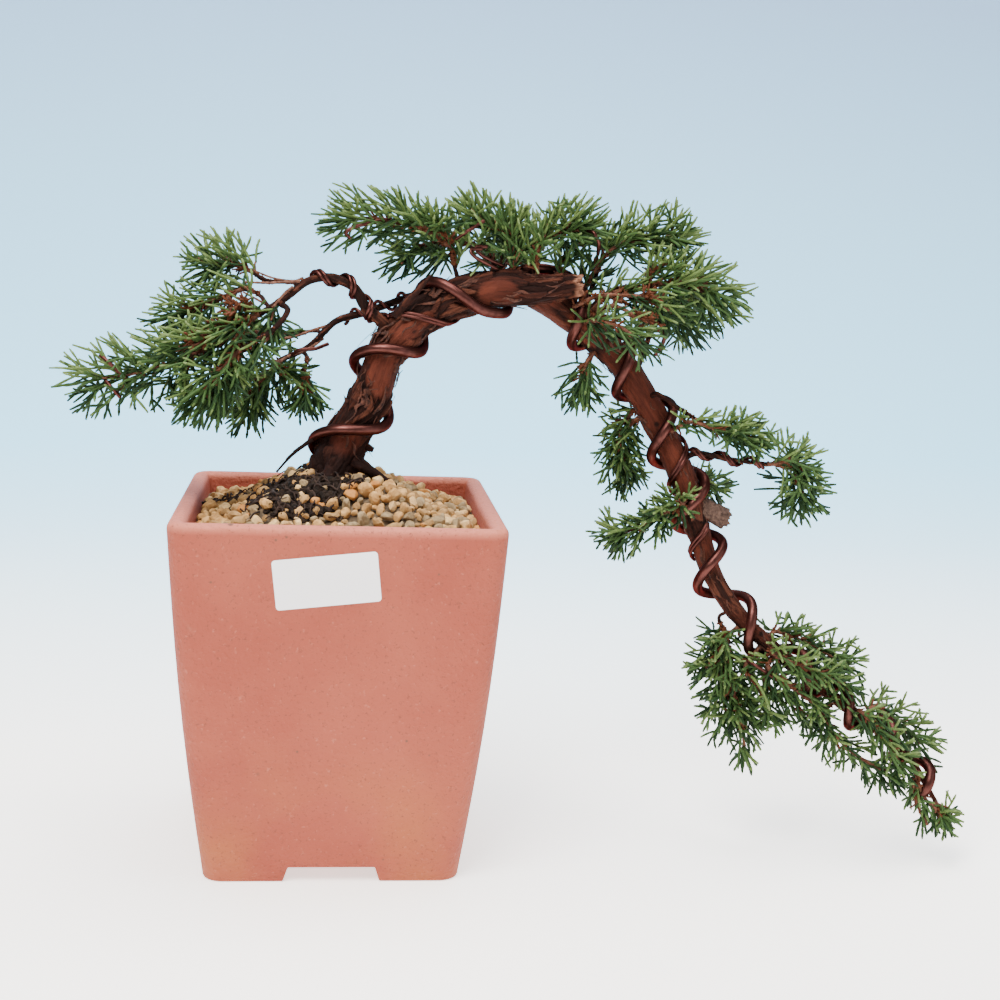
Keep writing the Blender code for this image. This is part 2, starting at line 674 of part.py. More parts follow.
class Mass:
    """One mass of foliage: a stem, the twigs that branch from it and the shoots on them."""

    def __init__(self, row, limbs):
        self.name, carrier, route, self.reach, self.lift, self.shoots = row
        self.rng = random.Random(self.name)
        points = [Vector(point) for point in route]
        limb = limbs[carrier]
        root, self.foot = limb.root_for(points[0]) if carrier in ("trunk", "cascade") else limb.tip()
        self.stem = smooth([root] + points, 2)
        self.pieces = []

    def within(self, point):
        """Whether a point is inside the mass's own space, round its stem."""
        if point.z < LOWEST_SHOOT:
            return False
        return min((point - knot).length for knot in self.stem[2:]) < self.reach

    def grow_stem(self, obstacles):
        """Makes the stem, which other masses then keep clear of."""
        self.pieces.append(twig_mesh("foliage_" + self.name, self.stem, STEM_RADII, self.foot))
        for start, end in zip(self.stem, self.stem[1:]):
            obstacles.add(start, end, STEM_RADII[0], self.name)

    def place(self, start, direction, length, radius, obstacles, shoot=False):
        """Notes a twig or shoot and says whether it could grow there."""
        end = start + direction * length
        if not self.within(end) or not obstacles.clear(start, end, radius, self.name):
            return False
        obstacles.add(start, end, radius, self.name, shoot)
        return True

    def grow_shoot(self, start, direction, splay, obstacles):
        """Adds a shoot with its root sunk in its twig, at the first roll that leaves room for it."""
        length = min(SHOOT_LENGTH, self.reach * 1.2) * self.rng.uniform(0.85, 1.1)
        for _ in range(TRIES):
            self.roll += GOLDEN_ANGLE
            leaning = turned(direction, splay, self.roll)
            leaning = (leaning + Vector((0.0, 0.0, self.lift * 0.5))).normalized()
            if self.place(start, leaning, length, SHOOT_WIDTH / 2, obstacles, shoot=True):
                self.pieces.append(shoot_mesh("shoot", start, leaning, length))
                return

    def grow_twig(self, start, along, obstacles):
        """Branches one twig off the stem, at the first roll that leaves room, and its shoots off it."""
        length = max(0.004, self.reach - SHOOT_LENGTH * 0.5) * self.rng.uniform(0.8, 1.15)
        for _ in range(TRIES):
            self.roll += GOLDEN_ANGLE
            direction = turned(along, TWIG_SPLAY, self.roll)
            direction = (direction + Vector((0.0, 0.0, self.lift))).normalized()
            if self.place(start, direction, length, TWIG_RADII[0], obstacles):
                break
        else:
            return
        end = start + direction * length
        self.pieces.append(twig_mesh("twig", [start, end], TWIG_RADII))
        self.grow_shoot(end - direction * TWIG_RADII[1], direction, 0.1, obstacles)
        for shoot in range(1, SHOOTS_PER_TWIG):
            root = end.lerp(start, 0.85 * shoot / SHOOTS_PER_TWIG)
            self.grow_shoot(root, direction, SHOOT_SPLAY, obstacles)

    def grow_twigs(self, obstacles):
        """Branches twigs off the stem and deals the shoots out along them and round its tip."""
        along = tangents_of(self.stem)
        bunches = max(1, round(self.shoots / SHOOTS_PER_TWIG) - 1)
        self.roll = self.rng.uniform(0.0, math.tau)
        for bunch in range(bunches):
            share = TWIG_FIRST + (TWIG_LAST - TWIG_FIRST) * (bunch + 0.5) / bunches
            place = share * (len(self.stem) - 1)
            index = int(place)
            start = self.stem[index].lerp(self.stem[index + 1], place - index)
            self.grow_twig(start, along[index], obstacles)
        self.grow_shoot(self.stem[-1] - along[-1] * STEM_RADII[1], along[-1], 0.1, obstacles)
        for shoot in range(1, SHOOTS_PER_TWIG):
            root = self.stem[-1] - along[-1] * (0.002 * shoot)
            self.grow_shoot(root, along[-1], SHOOT_SPLAY, obstacles)

    def fuse(self):
        """Joins the stem, twigs and shoots into one solid by one union."""
        stem = self.pieces[0]
        growth = bpy.data.collections.new("growth")
        for piece in self.pieces[1:]:
            bpy.context.scene.collection.objects.unlink(piece)
            growth.objects.link(piece)
        bpy.context.scene.collection.children.link(growth)
        boolean(stem, "UNION", collection=growth)
        bpy.data.collections.remove(growth)
        keep_largest(stem.data)


def keep_largest(mesh):
    """Drops every loose scrap of a mesh but its largest connected body."""
    shape = bmesh.new()
    shape.from_mesh(mesh)
    unseen = set(shape.verts)
    bodies = []
    while unseen:
        front = {unseen.pop()}
        body = set(front)
        while front:
            front = {edge.other_vert(vert) for vert in front for edge in vert.link_edges} & unseen
            unseen -= front
            body |= front
        bodies.append(list(body))
    bodies.sort(key=len)
    for body in bodies[:-1]:
        bmesh.ops.delete(shape, geom=body, context="VERTS")
    shape.to_mesh(mesh)
    shape.free()


def build_foliage(limbs, wires):
    """Grows every mass clear of the wood, the wires and the other masses."""
    obstacles = Obstacles()
    for name, limb in limbs.items():
        for start, end, radius in limb.segments():
            obstacles.add(start, end, radius, name)
    for wire in wires:
        for start, end, radius in wire.segments():
            obstacles.add(start, end, radius, "wire")
    masses = [Mass(row, limbs) for row in MASSES]
    for mass in masses:
        mass.grow_stem(obstacles)
    for mass in masses:
        mass.grow_twigs(obstacles)
    for mass in masses:
        mass.fuse()


def centre_on_base():
    """Moves every mesh so that the origin is at the middle of the whole model's base."""
    corners = []
    for made in bpy.context.scene.objects:
        corners += [made.matrix_world @ Vector(corner) for corner in made.bound_box]
    low = [min(corner[axis] for corner in corners) for axis in range(3)]
    high = [max(corner[axis] for corner in corners) for axis in range(3)]
    shift = Vector(((low[0] + high[0]) / -2, (low[1] + high[1]) / -2, -low[2]))
    for made in bpy.context.scene.objects:
        made.data.transform(Matrix.Translation(shift) @ made.matrix_world)
        made.matrix_world = Matrix.Identity(4)


def main():
    """Builds the potted tree from the soil up."""
    for old in list(bpy.data.objects):
        bpy.data.objects.remove(old)
    build_pot()
    build_substrate()
    up = Vector((0.0, 0.0, 1.0))
    trunk = Limb([knot[:3] for knot in TRUNK_ROUTE], [knot[3] for knot in TRUNK_ROUTE], foot=up)
    cascade = Limb([knot[:3] for knot in CASCADE_ROUTE], [knot[3] for knot in CASCADE_ROUTE])
    build_trunk(trunk, cascade)
    limbs = {"trunk": trunk, "cascade": cascade}
    build_boughs(limbs)
    wires = [build_thick_wire()] + build_thin_wires(limbs)
    limbs["cascade_tip"] = cascade
    build_foliage(limbs, wires)
    centre_on_base()


main()
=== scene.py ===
"""Looks of a juniper bonsai trained as a cascade, in a tall square pot of salmon clay.

The wood, wires and foliage grow here from the same routes as the frame's solids and by the same
rule, in finer detail: bark with relief and peeling flakes, round wires, and plumes of slender
scale-leaved shoots. Lengths are metres, and in the tables of routes millimetres. Routes are measured
from the middle of the pot's foot.
"""

from __future__ import annotations

import logging
import math
import random
from dataclasses import dataclass, field
from enum import Enum
from typing import Callable, Sequence

import bmesh
import bpy
import numpy as np
from mathutils import Matrix, Vector


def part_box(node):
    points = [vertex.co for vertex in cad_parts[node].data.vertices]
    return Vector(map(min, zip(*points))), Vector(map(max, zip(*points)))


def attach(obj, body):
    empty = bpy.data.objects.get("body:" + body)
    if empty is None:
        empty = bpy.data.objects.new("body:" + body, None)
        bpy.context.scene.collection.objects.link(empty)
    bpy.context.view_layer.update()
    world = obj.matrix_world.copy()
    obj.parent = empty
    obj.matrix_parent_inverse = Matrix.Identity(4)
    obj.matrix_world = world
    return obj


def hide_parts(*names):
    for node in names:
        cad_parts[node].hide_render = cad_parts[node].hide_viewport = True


LOG = logging.getLogger("juniper")
BODY = "root"

Array = np.ndarray
Random = np.random.Generator
Object = bpy.types.Object
Material = bpy.types.Material
Socket = bpy.types.NodeSocket
Colour = tuple[float, float, float]
FRONT = np.array([0.0, -1.0, 0.0])
UP = np.array([0.0, 0.0, 1.0])
GAP = 0.0003
GOLDEN_ANGLE = math.radians(137.5)

# Trunk, from the soil to the sawn end of the arch: x, y, z and radius.
TRUNK_ROUTE = [
    (-3, 0, 180.3, 12.2), (3, 0, 200, 10.3), (14, 0, 221, 9.8), (22, 0, 243, 9.4), (42, 0, 262, 8.8),
    (66, 0, 272, 9.3), (87, -1, 273, 7.7), (110, -5, 276, 4.4),
]
# Cascade, from under the arch to the level of the pot's foot.
CASCADE_ROUTE = [
    (92, 4, 271, 7.4), (115, 11, 257, 7.3), (137, 9, 237, 7), (155, 5, 209, 6.7), (168, 0, 183, 6.3),
    (176, -4, 159, 5.8), (185, -8, 135, 4.6), (201, -13, 114, 4.2), (232, -20, 89, 3.3),
    (262, -25, 68, 2.6), (283, -29, 52, 1.9), (298, -34, 30, 1.1),
]
# Stub on the cascade's outer side: what it grows towards, where it ends, and its radii.
STUB_ROOT = (187, -3, 174.5)
STUB_END = (190, -3, 164)
STUB_RADII = (5.2, 4.6)

# Boughs: name, the limb that carries it, the route after its root, and the radii at root and tip.
BOUGHS = [
    ("bough_left", "trunk",
     [(10, -5, 262), (4, -8, 271), (-7, -8, 275), (-17, -7, 273), (-27, -8, 265), (-39, -10, 257)],
     2.7, 1.4),
    ("bough_left_upper", "bough_left", [(-24, -1, 272), (-36, 3, 272), (-44, 7, 276)], 1.1, 0.9),
    ("bough_left_middle", "bough_left", [(-40, -4, 266), (-47, -2, 268)], 1, 0.8),
    ("bough_left_lower", "bough_left", [(-26, -13, 259), (-33, -17, 250), (-47, -20, 241)], 1.5, 1.1),
    ("bough_behind", "trunk",
     [(47, 13, 271), (36, 18, 268), (10, 19, 258), (-4, 19, 253), (-16, 16, 241), (-30, 12, 234)],
     2.2, 1.3),
    ("bough_behind_strand", "bough_behind", [(-14, 23, 248), (-27, 24, 246)], 1, 0.8),
    ("bough_inner", "bough_behind", [(-17, 9, 236), (-18, 7, 231)], 1, 0.8),
    ("bough_crown_left", "trunk", [(52, 4, 281), (50, 6, 291)], 1.1, 0.9),
    ("bough_crown_middle", "trunk", [(70, 7, 286), (64, 10, 291)], 1.3, 1),
    ("bough_crown_right", "trunk", [(89, 2, 286), (93, 4, 293)], 1.3, 1),
    ("bough_shoulder", "cascade", [(124, 4, 270), (131, 0, 275), (143, -4, 276)], 2, 1.2),
    ("bough_shoulder_high", "cascade", [(119, 17, 270), (122, 15, 281), (125, 12, 290)], 1.4, 1),
    ("bough_shoulder_back", "cascade", [(147, 20, 238), (151, 23, 249), (155, 22, 258)], 1.5, 1),
    ("bough_wired", "cascade", [(174, -4, 197), (187, -7, 195), (207, -9, 193)], 1.5, 1.1),
    ("bough_outer", "cascade", [(152, -3, 225), (162, -9, 219), (178, -11, 209)], 1.3, 1),
    ("bough_drop", "cascade", [(188, -10, 116), (192, -11, 108)], 1, 0.8),
]

# Thick wire: distance along its guide, turns (a whole number is a crossing at the front) and slack.
WIRE_RADIUS = 0.0026
WIRE_FORK = (101, 7, 268, 8.4)
WIRE_TURNS = [
    (4, 0.55, 1), (26, 1, 0.6), (68, 2, 0.4), (110, 3, 0.4), (131, 3.25, 0.6), (137, 3.58, 1),
    (156, 3.7, 2.2), (172, 4, 0.6), (207, 5, 0.6), (244, 6, 0.6), (282, 7, 0.6), (313, 8, 1.6),
    (350, 9, 1.6), (388, 10, 1), (414, 11, 1), (443, 12, 1), (470, 13, 1), (474, 13.2, 1),
]
# Thin wires: name, the limb that each winds round, strands, stations as above, and the solid it replaces.
THIN_WIRE_RADIUS = 0.0009
THIN_WIRES = [
    ("thin_wire_left", "bough_left", 2, [(3, 0.2, 0.1), (46, 3.4, 0.1)], ("thin_wire_left",)),
    ("thin_wire_outer", "bough_wired", 2, [(3, -0.4, 0.1), (39, 2.1, 0.1)], ("thin_wire_outer",)),
    ("thin_wire_arch", "trunk", 2, [(66, -0.45, 0.2), (88, 0, 0.2), (110, 0.42, 0.2)], ()),
    ("thin_wire_behind", "bough_behind", 1, [(6, 0, 0.1), (60, 4.5, 0.1)], ()),
    ("thin_wire_fall", "cascade", 2, [(98, -0.4, 0.3), (112.4, 0, 0.3), (127, 0.42, 0.3)], ()),
    ("thin_wire_low", "cascade", 2, [(144.5, 0.9, 0.3), (148, 1, 0.3), (159, 1.36, 0.3)], ()),
]
# Loose ends of thin wire in the foliage.
LOOSE_WIRES = [
    [(1.8, -8, 293.5), (-0.1, -10, 295.7), (2.6, -10, 298.1), (9, -9, 300.2), (17.3, -6, 302.4),
     (24, -3, 302.2)],
    [(51.3, -4, 295.1), (56.4, -8, 299), (63.9, -6, 303.9)],
    [(63.5, -6, 291), (58.1, -9, 290.3), (59.5, -10, 287.7), (64.5, -8, 285), (71.2, -4, 281.9)],
    [(66, -4, 292), (60.7, -6, 291.8), (62.6, -7, 288.6), (67.6, -5, 286), (74.3, -1, 283.4)],
    [(113.9, -2, 301.4), (116.2, -6, 300.6), (118.8, -6, 296), (119.3, -2, 290.9)],
    [(148.6, -12, 260.3), (150.4, -16, 256.9), (150.5, -15, 251.2), (148.1, -10, 244.5)],
    [(-110.2, -16, 236.3), (-104.5, -19, 232.2), (-98.6, -16, 226.6)],
    [(-107.4, -17, 224.6), (-104.5, -19, 221.7), (-101.2, -17, 217.5)],
    [(-31.9, -6, 250.7), (-36.2, -10, 244.8), (-43, -11, 240.9), (-51.8, -9, 238.6)],
    [(-24.1, 8, 237.2), (-20.3, 6, 239.9), (-13.7, 7, 240.5), (-7.2, 12, 242.7)],
    [(200.4, -24, 97.9), (205.4, -28, 95.6), (216.1, -26, 88.5)],
]

# Foliage: name, carrying limb, stem route after its root, reach of the mass, lift and fullness.
MASSES = [
    ("left_tip", "bough_left", [(-58, -12, 243), (-88, -11, 230), (-114, -9, 224)], 22, 0, 46),
    ("left_upper", "bough_left_upper", [(-54, 9, 279), (-64, 12, 278)], 18.5, 0.2, 22),
    ("left_middle", "bough_left_middle", [(-60, 0, 262), (-80, 4, 254)], 17.5, 0.1, 24),
    ("left_lower", "bough_left_lower", [(-56, -22, 231), (-64, -22, 220)], 20, -0.4, 26),
    ("left_under", "bough_behind", [(-39, 13, 224), (-46, 12, 213)], 19, -0.4, 24),
    ("left_inner", "bough_inner", [(-18, 6, 224), (-17, 6, 218)], 15, -0.5, 16),
    ("left_back", "bough_behind_strand",
     [(-42, 29, 246), (-62, 34, 243), (-76, 36, 239)], 16.5, 0.1, 22),
    ("crown_left", "bough_crown_left", [(36, 2, 299), (14, -1, 303), (1, -3, 301)], 19, 0.2, 30),
    ("crown_middle", "bough_crown_middle", [(54, 14, 294), (38, 17, 292), (28, 14, 286)], 19, 0, 24),
    ("crown_centre", "trunk", [(80, 3, 289), (74, 4, 299), (60, 2, 304)], 20, 0.3, 28),
    ("crown_right", "bough_crown_right", [(99, 4, 299), (112, 2, 302)], 19, 0.3, 26),
    ("crown_back", "trunk", [(76, 18, 283), (80, 32, 288), (85, 44, 287)], 20, 0.2, 28),
    ("shoulder_high", "bough_shoulder_high", [(134, 7, 297), (155, 3, 300)], 20, 0.25, 30),
    ("shoulder_right", "bough_shoulder", [(154, -10, 279), (168, -9, 278), (178, -7, 272)], 20, 0, 34),
    ("shoulder_back", "bough_shoulder_back", [(162, 25, 262), (172, 30, 260)], 20, 0, 28),
    ("shoulder_front", "cascade", [(119, -14, 260), (128, -22, 258), (138, -24, 251)], 15, 0, 18),
    ("arch_under", "cascade", [(119, 8, 240), (116, 11, 230), (117, 12, 225)], 16, -0.4, 18),
    ("fall_inner", "cascade", [(144, 12, 210), (139, 16, 200), (142, 17, 184)], 17, -0.2, 26),
    ("fall_front", "cascade", [(160, -11, 169), (146, -13, 162), (134, -12, 157)], 16, -0.2, 26),
    ("fall_outer", "bough_outer", [(187, -14, 209), (200, -12, 206)], 15, 0.1, 20),
    ("fall_hanging", "bough_wired", [(216, -10, 194), (223, -9, 192), (225, -8, 178)], 19, 0.1, 28),
    ("fall_sprig", "cascade", [(180, 6, 181), (186, 9, 179)], 13, -0.1, 10),
    ("tail_hanging", "bough_drop", [(192, -12, 96), (194, -14, 82), (200, -15, 68)], 23, -0.1, 38),
    ("tail_upper", "cascade", [(217, -13, 110), (236, -12, 103), (252, -15, 94)], 16, 0.1, 24),
    ("tail_back", "cascade", [(234, -12, 92), (242, 0, 87), (251, 6, 81)], 17, 0, 20),
    ("tail_lower", "cascade", [(267, -21, 74), (282, -19, 65), (292, -23, 54)], 16, 0.1, 20),
    ("tail_under", "cascade", [(240, -26, 70), (252, -32, 56), (272, -35, 44)], 15, -0.2, 20),
    ("tail_tip", "cascade_tip", [(299, -36, 26), (301, -37, 22)], 12, -0.1, 12),
]


# Sprigs that fill a mass out in front of the limbs and between them: a name, the mass, then as above.
SPRIGS = [
    ("tail_over", "tail_upper", "cascade",
     [(213, -26, 101.7), (227.3, -30, 96.4), (248.1, -30, 88)], 13, 0.1, 20),
    ("tail_over_low", "tail_lower", "cascade",
     [(256.4, -34, 75.6), (267.8, -38, 62.8), (278.5, -38, 48.2)], 13, 0, 22),
    ("tail_between", "tail_upper", "cascade",
     [(210, -26, 95.1), (221.9, -29, 86), (235.8, -32, 76.9)], 12, 0, 14),
    ("tail_between_left", "tail_hanging", "cascade",
     [(199.7, -22, 93.8), (207.5, -24, 83.3), (213.8, -26, 71.2)], 12, -0.2, 12),
    ("tail_hanging_right", "tail_hanging", "cascade",
     [(210.2, -22, 87.8), (223.6, -22, 77.7), (237.9, -20, 65.8)], 14, -0.2, 20),
    ("tail_hanging_low", "tail_hanging", "bough_drop",
     [(194.5, -18, 85), (199, -22, 68), (203, -23, 50)], 11, -0.3, 10),
    ("tail_end", "tail_tip", "cascade",
     [(286, -36, 44), (290.5, -37.5, 33.5), (297.3, -38, 27)], 10, 0, 12),
    ("tail_end_low", "tail_tip", "cascade",
     [(285, -36, 40), (288.5, -37, 28), (293.5, -38, 19)], 9, -0.2, 9),
    ("tail_hanging_high", "tail_hanging", "cascade",
     [(189.9, -14, 105.1), (184.5, -16, 95.9), (180.7, -18, 92.4)], 12, 0, 10),
    ("shoulder_fill", "shoulder_right", "cascade",
     [(128.1, -4, 273.4), (141.2, -12, 270.4), (154.1, -14, 265.4)], 14, 0, 16),
    ("shoulder_rise", "shoulder_high", "cascade",
     [(119, 10, 280.6), (124.1, 6, 290.4), (132.7, 2, 297.9)], 14, 0.2, 14),
    ("shoulder_back_fill", "shoulder_back", "cascade",
     [(145, 14, 256), (156, 16, 264), (169, 16, 270)], 14, 0.1, 16),
    ("fall_cross", "fall_outer", "cascade",
     [(166.2, -14, 213.3), (178.1, -16, 211), (193.7, -14, 207.3)], 11, 0.1, 14),
    ("fall_front_near", "fall_front", "cascade", [(162, -18, 173), (153, -20, 168.7)], 12, -0.1, 12),
    ("fall_inner_high", "fall_inner", "cascade",
     [(142.9, 12, 214.3), (137.8, 14, 204.9), (141.2, 14, 190)], 13, -0.1, 14),
    ("left_middle_front", "left_middle", "bough_left",
     [(-47.4, -16, 249.9), (-49.4, -18, 240.8), (-50.7, -18, 230.7)], 14, -0.2, 14),
    ("left_under_right", "left_under", "bough_behind", [(-31, 8, 232.3), (-25, 6, 228)], 14, -0.3, 12),
    ("left_tip_front", "left_tip", "bough_left",
     [(-59, -14, 246.9), (-67.3, -20, 242.6), (-78.5, -20, 239.1)], 15, 0.1, 16),
    ("dead_left_upper", "left_middle", "bough_left", [(-46, -12, 261), (-53, -14, 259)], 10, 0, 7),
    ("dead_left_lower", "left_middle", "bough_left", [(-58, -16, 250), (-67, -18, 245.5)], 9, 0, 5),
    ("crown_centre_fill", "crown_centre", "trunk", [(79.8, 2, 295.7), (81.8, 2, 303)], 13, 0.3, 10),
    ("dead_shoulder", "shoulder_right", "cascade",
     [(119, -12, 271.5), (131, -14, 272.2), (145, -14, 272.2)], 7, 0, 6),
    ("dead_shoulder_low", "shoulder_right", "cascade",
     [(125, -14, 267.2), (137, -18, 262.6), (145, -18, 260.5)], 7, 0, 5),
    ("shoulder_middle", "shoulder_high", "bough_shoulder",
     [(145, -6, 283), (152, -8, 288)], 12.5, 0.2, 12),
    ("crown_left_fill", "crown_left", "bough_crown_left", [(46, 2, 299), (40, 0, 304)], 13, 0.3, 12),
    ("crown_between", "crown_right", "trunk", [(90, -2, 290), (93, -4, 299)], 13, 0.2, 12),
    ("crown_right_fill", "crown_right", "trunk",
     [(103.2, 10, 286), (108.6, 10, 292.1), (114.2, 8, 298)], 14, 0.2, 14),
]

# Where the bark is ragged: the limb, the distance along it and the turn from its front.
RAGGED = [
    ("trunk", 66, 0.80), ("trunk", 74, 0.70), ("trunk", 100, 0.74), ("trunk", 128, 0.25),
    ("trunk", 40, 0.90), ("trunk", 20, 0.20), ("cascade", 105, 0.95), ("cascade", 85, 0.20),
    ("cascade", 125, 0.70),
]

# Surface roots at the right, left, front and back, and then the knob and broken spike on the trunk.
ROOTS = [
    [(6, -6, 189, 3.4), (14, -8, 185, 2.4), (21, -8, 181, 1.5), (27, -9, 178.5, 0.7)],
    [(-10, -3, 200, 1), (-16, -4, 196.5, 0.9), (-23, -6, 191, 0.7), (-30, -8, 183, 0.4)],
    [(-4, -9, 186, 3.6), (-6, -14, 182, 2.4), (-9, -19, 178.5, 1.2)],
    [(0, 9, 186, 3.4), (4, 15, 182, 2.2), (9, 21, 178, 1)],
    [(8, -2, 197, 2.4), (12, -3, 195.5, 2), (15.5, -3, 194, 1.3)],
    [(24, -6, 258, 2.2), (29, -9, 265, 2), (35, -9, 272, 1.3), (40, -8, 278, 0.4)],
]
ROOTS_IN_SOIL = 4

# Bare twigs that run on beside the boughs at the left, each with its radius.
BARE_TWIGS = [
    (0.6, [(-19.4, -8, 274.3), (-24, -4.7, 272.7), (-33.4, -1.3, 273.6), (-42.8, 2, 276.8)]),
    (0.7, [(-20.7, -8, 272.9), (-34.6, -5, 271.4), (-46.2, -2, 271.2)]),
    (0.6, [(-34.3, -7, 260.4), (-39.8, -8.5, 263.5), (-46.6, -10, 267)]),
    (0.7, [(-23.9, -9, 270), (-27.4, -11.5, 267.3), (-32.7, -12, 260.7)]),
    (0.7, [(-6.4, 19, 251.4), (-14.5, 16.7, 248.8), (-24, 15.3, 245.2), (-33.4, 14, 244.5)]),
    (0.8, [(-9.6, 18, 245), (-17.1, 13.3, 239.4), (-26.5, 8.7, 236.1), (-34.2, 4, 230.1)]),
    (0.6, [(-26.6, 10.5, 235.8), (-32.1, 8, 233.6), (-38.1, 4, 234.7)]),
]

# How much of a bough is bare before its sprays begin, and the boughs where that differs.
BARE_SHARE = 0.30
BARE_SHARES = {
    "bough_left": 0.8, "bough_behind": 0.85, "bough_behind_strand": 0.4, "bough_left_upper": 0.55,
    "bough_left_lower": 0.55, "bough_wired": 0.8, "bough_drop": 0.6, "bough_outer": 0.45,
    "bough_shoulder": 0.15, "bough_shoulder_high": 0.2, "bough_shoulder_back": 0.2,
}


# ---------------------------------------------------------------- lines and noise


def metres(lengths: float | Sequence) -> Array:
    """Lengths given in millimetres, in metres."""
    return np.array(lengths, float) / 1000.0


def unit(vectors: Array) -> Array:
    """Vectors scaled to length one."""
    return vectors / np.maximum(np.linalg.norm(vectors, axis=-1, keepdims=True), 1e-12)


def smooth(route: Sequence[Sequence[float]] | Array, steps: int) -> Array:
    """A smooth curve through the rows of a route.

    Args:
        route: Rows of coordinates, with or without a radius.
        steps: Points for each stretch between two rows.

    Returns:
        The curve's rows.
    """
    knots = np.asarray(route, float)
    padded = np.vstack([2 * knots[0] - knots[1], knots, 2 * knots[-1] - knots[-2]])
    t = (np.arange(steps) / steps)[:, None]
    pieces = []
    for a, b, c, d in zip(padded, padded[1:], padded[2:], padded[3:]):
        bend = (2 * a - 5 * b + 4 * c - d) * t ** 2
        turn = (3 * b - a - 3 * c + d) * t ** 3
        pieces.append(b + ((c - a) * t + bend + turn) / 2)
    return np.vstack(pieces + [knots[-1:]])


@dataclass
class Path:
    """A centre line with a radius at each point and a sideways frame that never twists."""

    points: Array
    radii: Array
    foot: Array | None = None
    tangents: Array = field(init=False)
    fronts: Array = field(init=False)
    rights: Array = field(init=False)
    lengths: Array = field(init=False)

    def __post_init__(self) -> None:
        """Works out the directions and the distance at each point."""
        ahead = np.vstack([self.points[1:], 2 * self.points[-1] - self.points[-2]])
        behind = np.vstack([2 * self.points[0] - self.points[1], self.points[:-1]])
        self.tangents = unit(ahead - behind)
        if self.foot is not None:
            self.tangents[0] = self.foot
        front = FRONT if abs(self.tangents[0] @ FRONT) < 0.9 else UP
        fronts = []
        for tangent in self.tangents:
            front = unit(front - tangent * (front @ tangent))
            fronts.append(front)
        self.fronts = np.array(fronts)
        self.rights = np.cross(self.tangents, self.fronts)
        steps = np.linalg.norm(np.diff(self.points, axis=0), axis=1)
        self.lengths = np.concatenate([[0.0], np.cumsum(steps)])

    @classmethod
    def through(cls, rows: Sequence[Sequence[float]], steps: int, foot: Array | None = None) -> Path:
        """A path through rows of x, y, z and radius."""
        curve = smooth(rows, steps)
        return cls(curve[:, :3], curve[:, 3], foot)

    def spaced(self, step: float) -> Path:
        """The same path with points about so far apart."""
        count = max(3, round(self.lengths[-1] / step) + 1)
        stations = np.linspace(0.0, self.lengths[-1], count)
        return Path(self.at(stations, self.points), self.at(stations, self.radii), self.foot)

    def at(self, stations: Array, values: Array) -> Array:
        """Values that belong to the points, read at distances along the path."""
        if values.ndim == 1:
            return np.interp(stations, self.lengths, values)
        return np.stack([np.interp(stations, self.lengths, column) for column in values.T], axis=-1)

    def root_for(self, target: Array) -> tuple[Array, Array]:
        """Where a branch to a target leaves this limb, and its outward direction there."""
        index = int(np.argmin(np.linalg.norm(self.points - target, axis=1)))
        outward = target - self.points[index]
        outward = unit(outward - self.tangents[index] * (outward @ self.tangents[index]))
        return self.points[index] + outward * self.radii[index] * 0.6, outward

    def spot(self, share: float) -> tuple[Array, Array]:
        """The point and the direction at a share of the whole length."""
        station = np.array([share * self.lengths[-1]])
        return self.at(station, self.points)[0], unit(self.at(station, self.tangents)[0])

    def outward(self, stations: Array, angles: Array) -> Array:
        """Directions straight out from the line, at distances along it and angles round it."""
        front, right = self.at(stations, self.fronts), self.at(stations, self.rights)
        return unit(front * np.cos(angles)[:, None] + right * np.sin(angles)[:, None])

    def ring_grid(self, sides: int, reach: Array | None = None) -> Array:
        """Rings of points round the path.

        Args:
            sides: Points in a ring.
            reach: Distance from the centre line, for each ring and side, if not the path's radius.

        Returns:
            The points, as rings by sides by three.
        """
        if reach is None:
            reach = self.radii[:, None]
        angle = np.arange(sides) / sides * math.tau
        spoke = self.fronts[:, None] * np.cos(angle)[:, None]
        spoke = spoke + self.rights[:, None] * np.sin(angle)[:, None]
        return self.points[:, None] + spoke * reach[..., None]


class Noise:
    """Smooth noise on a lattice that closes on itself in its first direction."""

    def __init__(self, seed: int, cells: int, rows: int = 64) -> None:
        """Deals the lattice's values."""
        self.table = np.random.default_rng(seed).uniform(-1.0, 1.0, (cells, rows))

    def at(self, across: Array, along: Array) -> Array:
        """Noise from -1 to 1 at places given in cells."""
        cells, rows = self.table.shape
        low_u, low_v = np.floor(across), np.floor(along)
        u, v = across - low_u, along - low_v
        u, v = u * u * (3 - 2 * u), v * v * (3 - 2 * v)
        i, j = low_u.astype(int) % cells, low_v.astype(int) % rows
        k, m = (i + 1) % cells, (j + 1) % rows
        near = self.table[i, j] * (1 - u) + self.table[k, j] * u
        far = self.table[i, m] * (1 - u) + self.table[k, m] * u
        return near * (1 - v) + far * v


